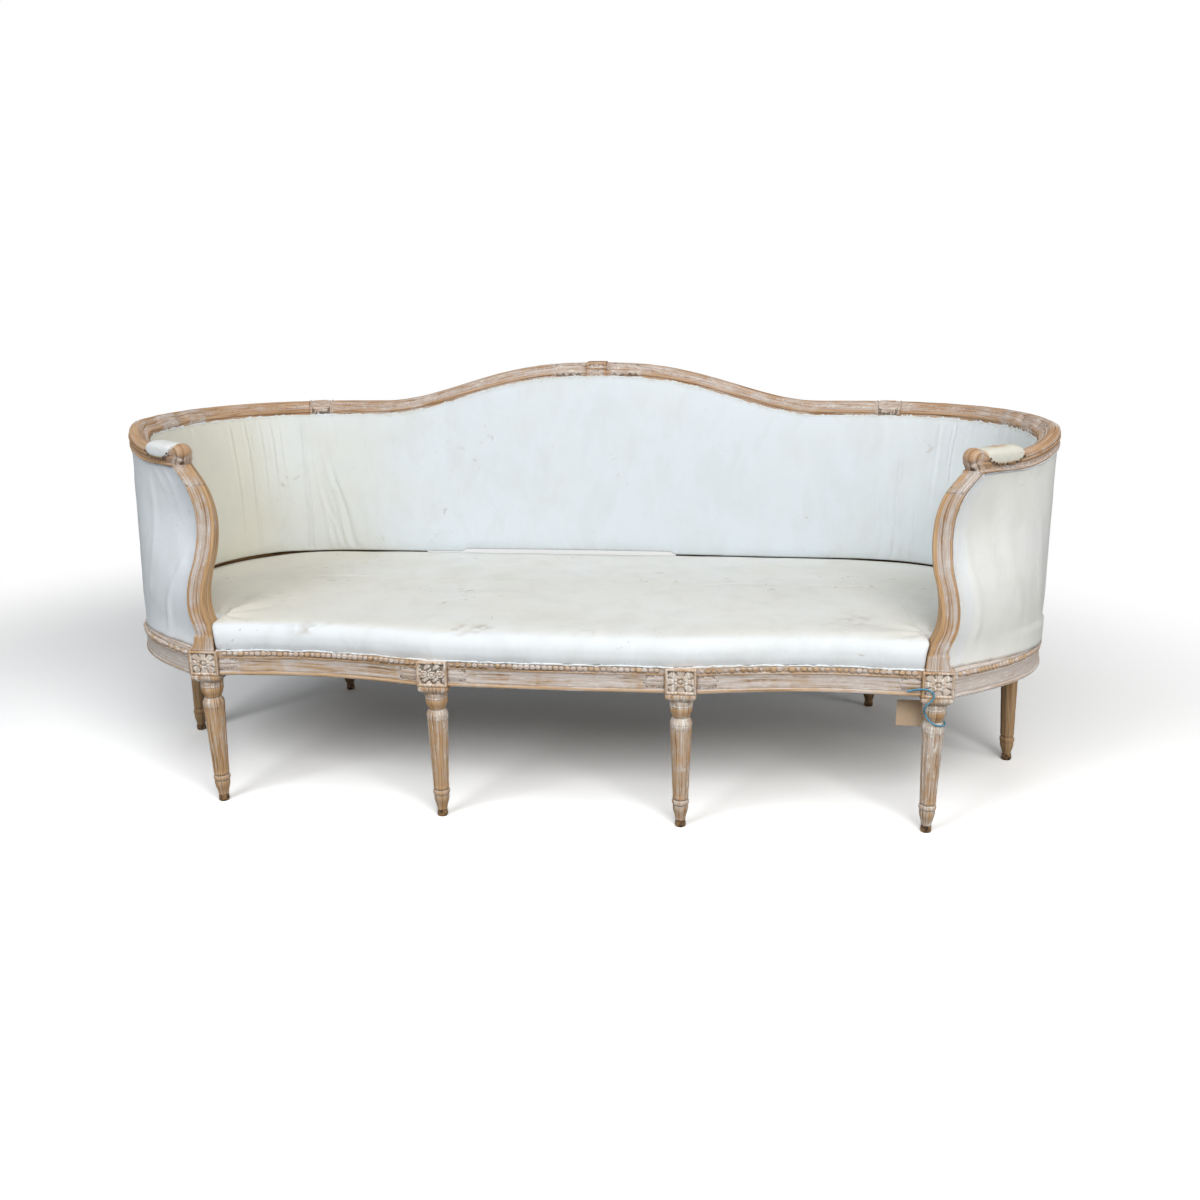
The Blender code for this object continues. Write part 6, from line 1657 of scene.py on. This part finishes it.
tagString = {"diameter": 0.004, "plies": 3, "twist": 260,
             "route": ((.7300, -.3795, .3275), (.7420, -.3795, .3315), (.7530, -.3858, .3355), (.7635, -.3872, .3365),
                       (.7735, -.3868, .3340), (.7815, -.3868, .3275), (.7840, -.3868, .3190), (.7790, -.3866, .3105),
                       (.7710, -.3856, .3020), (.7670, -.3815, .2925), (.7680, -.3745, .2835), (.7715, -.3680, .2740),
                       (.7780, -.3730, .2640), (.7880, -.3765, .2570), (.8000, -.3745, .2525), (.8105, -.3665, .2505),
                       (.8150, -.3540, .2505), (.8115, -.3410, .2515), (.8020, -.3320, .2525), (.7910, -.3300, .2540),
                       (.7815, -.3290, .2560), (.7755, -.3265, .2580), (.7730, -.3215, .2590))}


def smoothRoute(route, steps):
    p = np.array(route)
    key = np.arange(len(p))
    fine = np.linspace(0, len(p) - 1, (len(p) - 1) * steps + 1)
    return np.stack([smoothTable(fine, key, p[:, k]) for k in range(3)], -1)


# a cord of three plies: the radius swells three times round, and the swelling turns along the string
def stringShell(path, radius, plies, twist):
    angle = np.arange(18) / 18 * 2 * np.pi
    swelling = np.abs(np.cos((angle[None, :] - twist * pathLength(path)[:, None]) * plies / 2))
    return tubeShell(path, radius * (0.90 + 0.10 * swelling), (0.3, 0.2, 0.93))


def makeTag():
    path = smoothRoute(tagString["route"], 12)
    shell, length = stringShell(path, tagString["diameter"] / 2, tagString["plies"], tagString["twist"])
    string = addPiece("tagString_cord", [shell], "string", ["tag_string"])
    low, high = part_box("paper_tag")
    rows, columns = 34, 20
    z, x = np.meshgrid(np.linspace(low[2], high[2], rows), np.linspace(low[0], high[0], columns), indexing="ij")
    y = (low[1] + high[1]) / 2 + 0.0016 * np.sin((x - low[0]) * 38) * ((z - low[2]) / 0.06 - 0.5)
    face, rear = (np.stack([x, y + back, z], -1) for back in (-0.0003, 0.0003))
    tag = addPiece("tagPaper", [twoFaceShell(face, rear, np.stack([x, z, 0 * x], -1))], "paper", ["paper_tag"])


makeTag()
print("tag and string made")


# ---------- hidden frame keeps its solids, with wood and jute on them ----------

for name, node in nodes.items():
    if not node.hide_render:
        node.data.materials.clear()
        woven = "webbing" in name
        node.data.materials.append(finishes["webbing" if woven else "raw"])


# ---------- floor, lamps and world ----------

# the floor fades into white between two distances from a point a little left of the sofa's middle
stage = {"size": 9.0, "fadeStart": 1.45, "fadeEnd": 2.7, "shade": 1.68, "bounce": 0.26, "fadeShift": 0.34, "sky": 0.10}
# place, aim, size in metres, power in watts and colour of each lamp
lamps = {"right": ((1.45, -3.05, 2.7), (0.1, 0.0, 0.4), (2.2, 1.8), 75, (1.0, 0.99, 0.97)),
         "left": ((-2.05, -2.8, 2.55), (-0.1, 0.0, 0.4), (1.8, 1.8), 52, (0.96, 0.985, 1.0)),
         "side": ((3.1, -1.5, 1.3), (1.0, 0.0, 0.4), (1.4, 1.4), 16, (1.0, 0.98, 0.95)),
         "top": ((0.0, -1.3, 3.1), (0.0, 0.0, 0.4), (2.6, 1.4), 28, (1.0, 1.0, 1.0))}


def makeFloor():
    half = stage["size"]
    side = np.linspace(-half, half, 3)
    x, y = np.meshgrid(side, side)
    points = np.stack([x, y, 0 * x], -1)
    floor = bpy.data.objects.new("floor", makeMesh("floor", [gridShell(points)]))
    bpy.context.scene.collection.objects.link(floor)
    material, tree, _ = newMaterial("floor", 1.0, 0.0)
    seen = seenOf(tree)
    grey = mixColours(tree, seen, (stage["bounce"],) * 3, (stage["shade"],) * 3)
    diffuse = addNode(tree, "BsdfDiffuse", {"Color": grey})
    glow = addNode(tree, "Emission", {"Color": (1, 1, 1, 1), "Strength": 1.0})
    shifted = addNode(tree, "VectorMath", {0: objectPlace(tree), 1: (stage["fadeShift"], 0, 0)}, operation="ADD")
    away = addNode(tree, "VectorMath", {0: shifted.outputs["Vector"]}, operation="LENGTH").outputs["Value"]
    fade = addNode(tree, "MapRange", {0: away, 1: stage["fadeStart"], 2: stage["fadeEnd"]},
                   interpolation_type="SMOOTHSTEP")
    share = times(tree, fade.outputs[0], seen)
    both = addNode(tree, "MixShader", {0: share, 1: diffuse.outputs[0], 2: glow.outputs[0]})
    tree.links.new(both.outputs[0], tree.nodes["Material Output"].inputs["Surface"])
    floor.data.materials.append(material)


def makeLamp(name, place, aim, size, power, colour):
    lamp = bpy.data.lights.new(name, "AREA")
    lamp.shape = "RECTANGLE"
    lamp.size, lamp.size_y = size
    lamp.energy = power
    lamp.color = colour
    made = bpy.data.objects.new(name, lamp)
    bpy.context.scene.collection.objects.link(made)
    made.location = place
    made.rotation_euler = (Vector(aim) - Vector(place)).to_track_quat("-Z", "Y").to_euler()


def makeWorld():
    world = bpy.data.worlds.new("studio")
    bpy.context.scene.world = world
    world.use_nodes = True
    tree = world.node_tree
    tree.nodes.clear()
    seen = seenOf(tree)
    sky = addNode(tree, "Background", {"Color": (0.93, 0.97, 1.0, 1), "Strength": stage["sky"]})
    white = addNode(tree, "Background", {"Color": (1, 1, 1, 1), "Strength": 1.0})
    both = addNode(tree, "MixShader", {0: seen, 1: sky.outputs[0], 2: white.outputs[0]})
    out = tree.nodes.new("ShaderNodeOutputWorld")
    tree.links.new(both.outputs[0], out.inputs["Surface"])


makeFloor()
makeWorld()
for name, lamp in lamps.items():
    makeLamp(name + " lamp", *lamp)
bpy.context.scene.view_settings.view_transform = "Standard"
print("stage made")
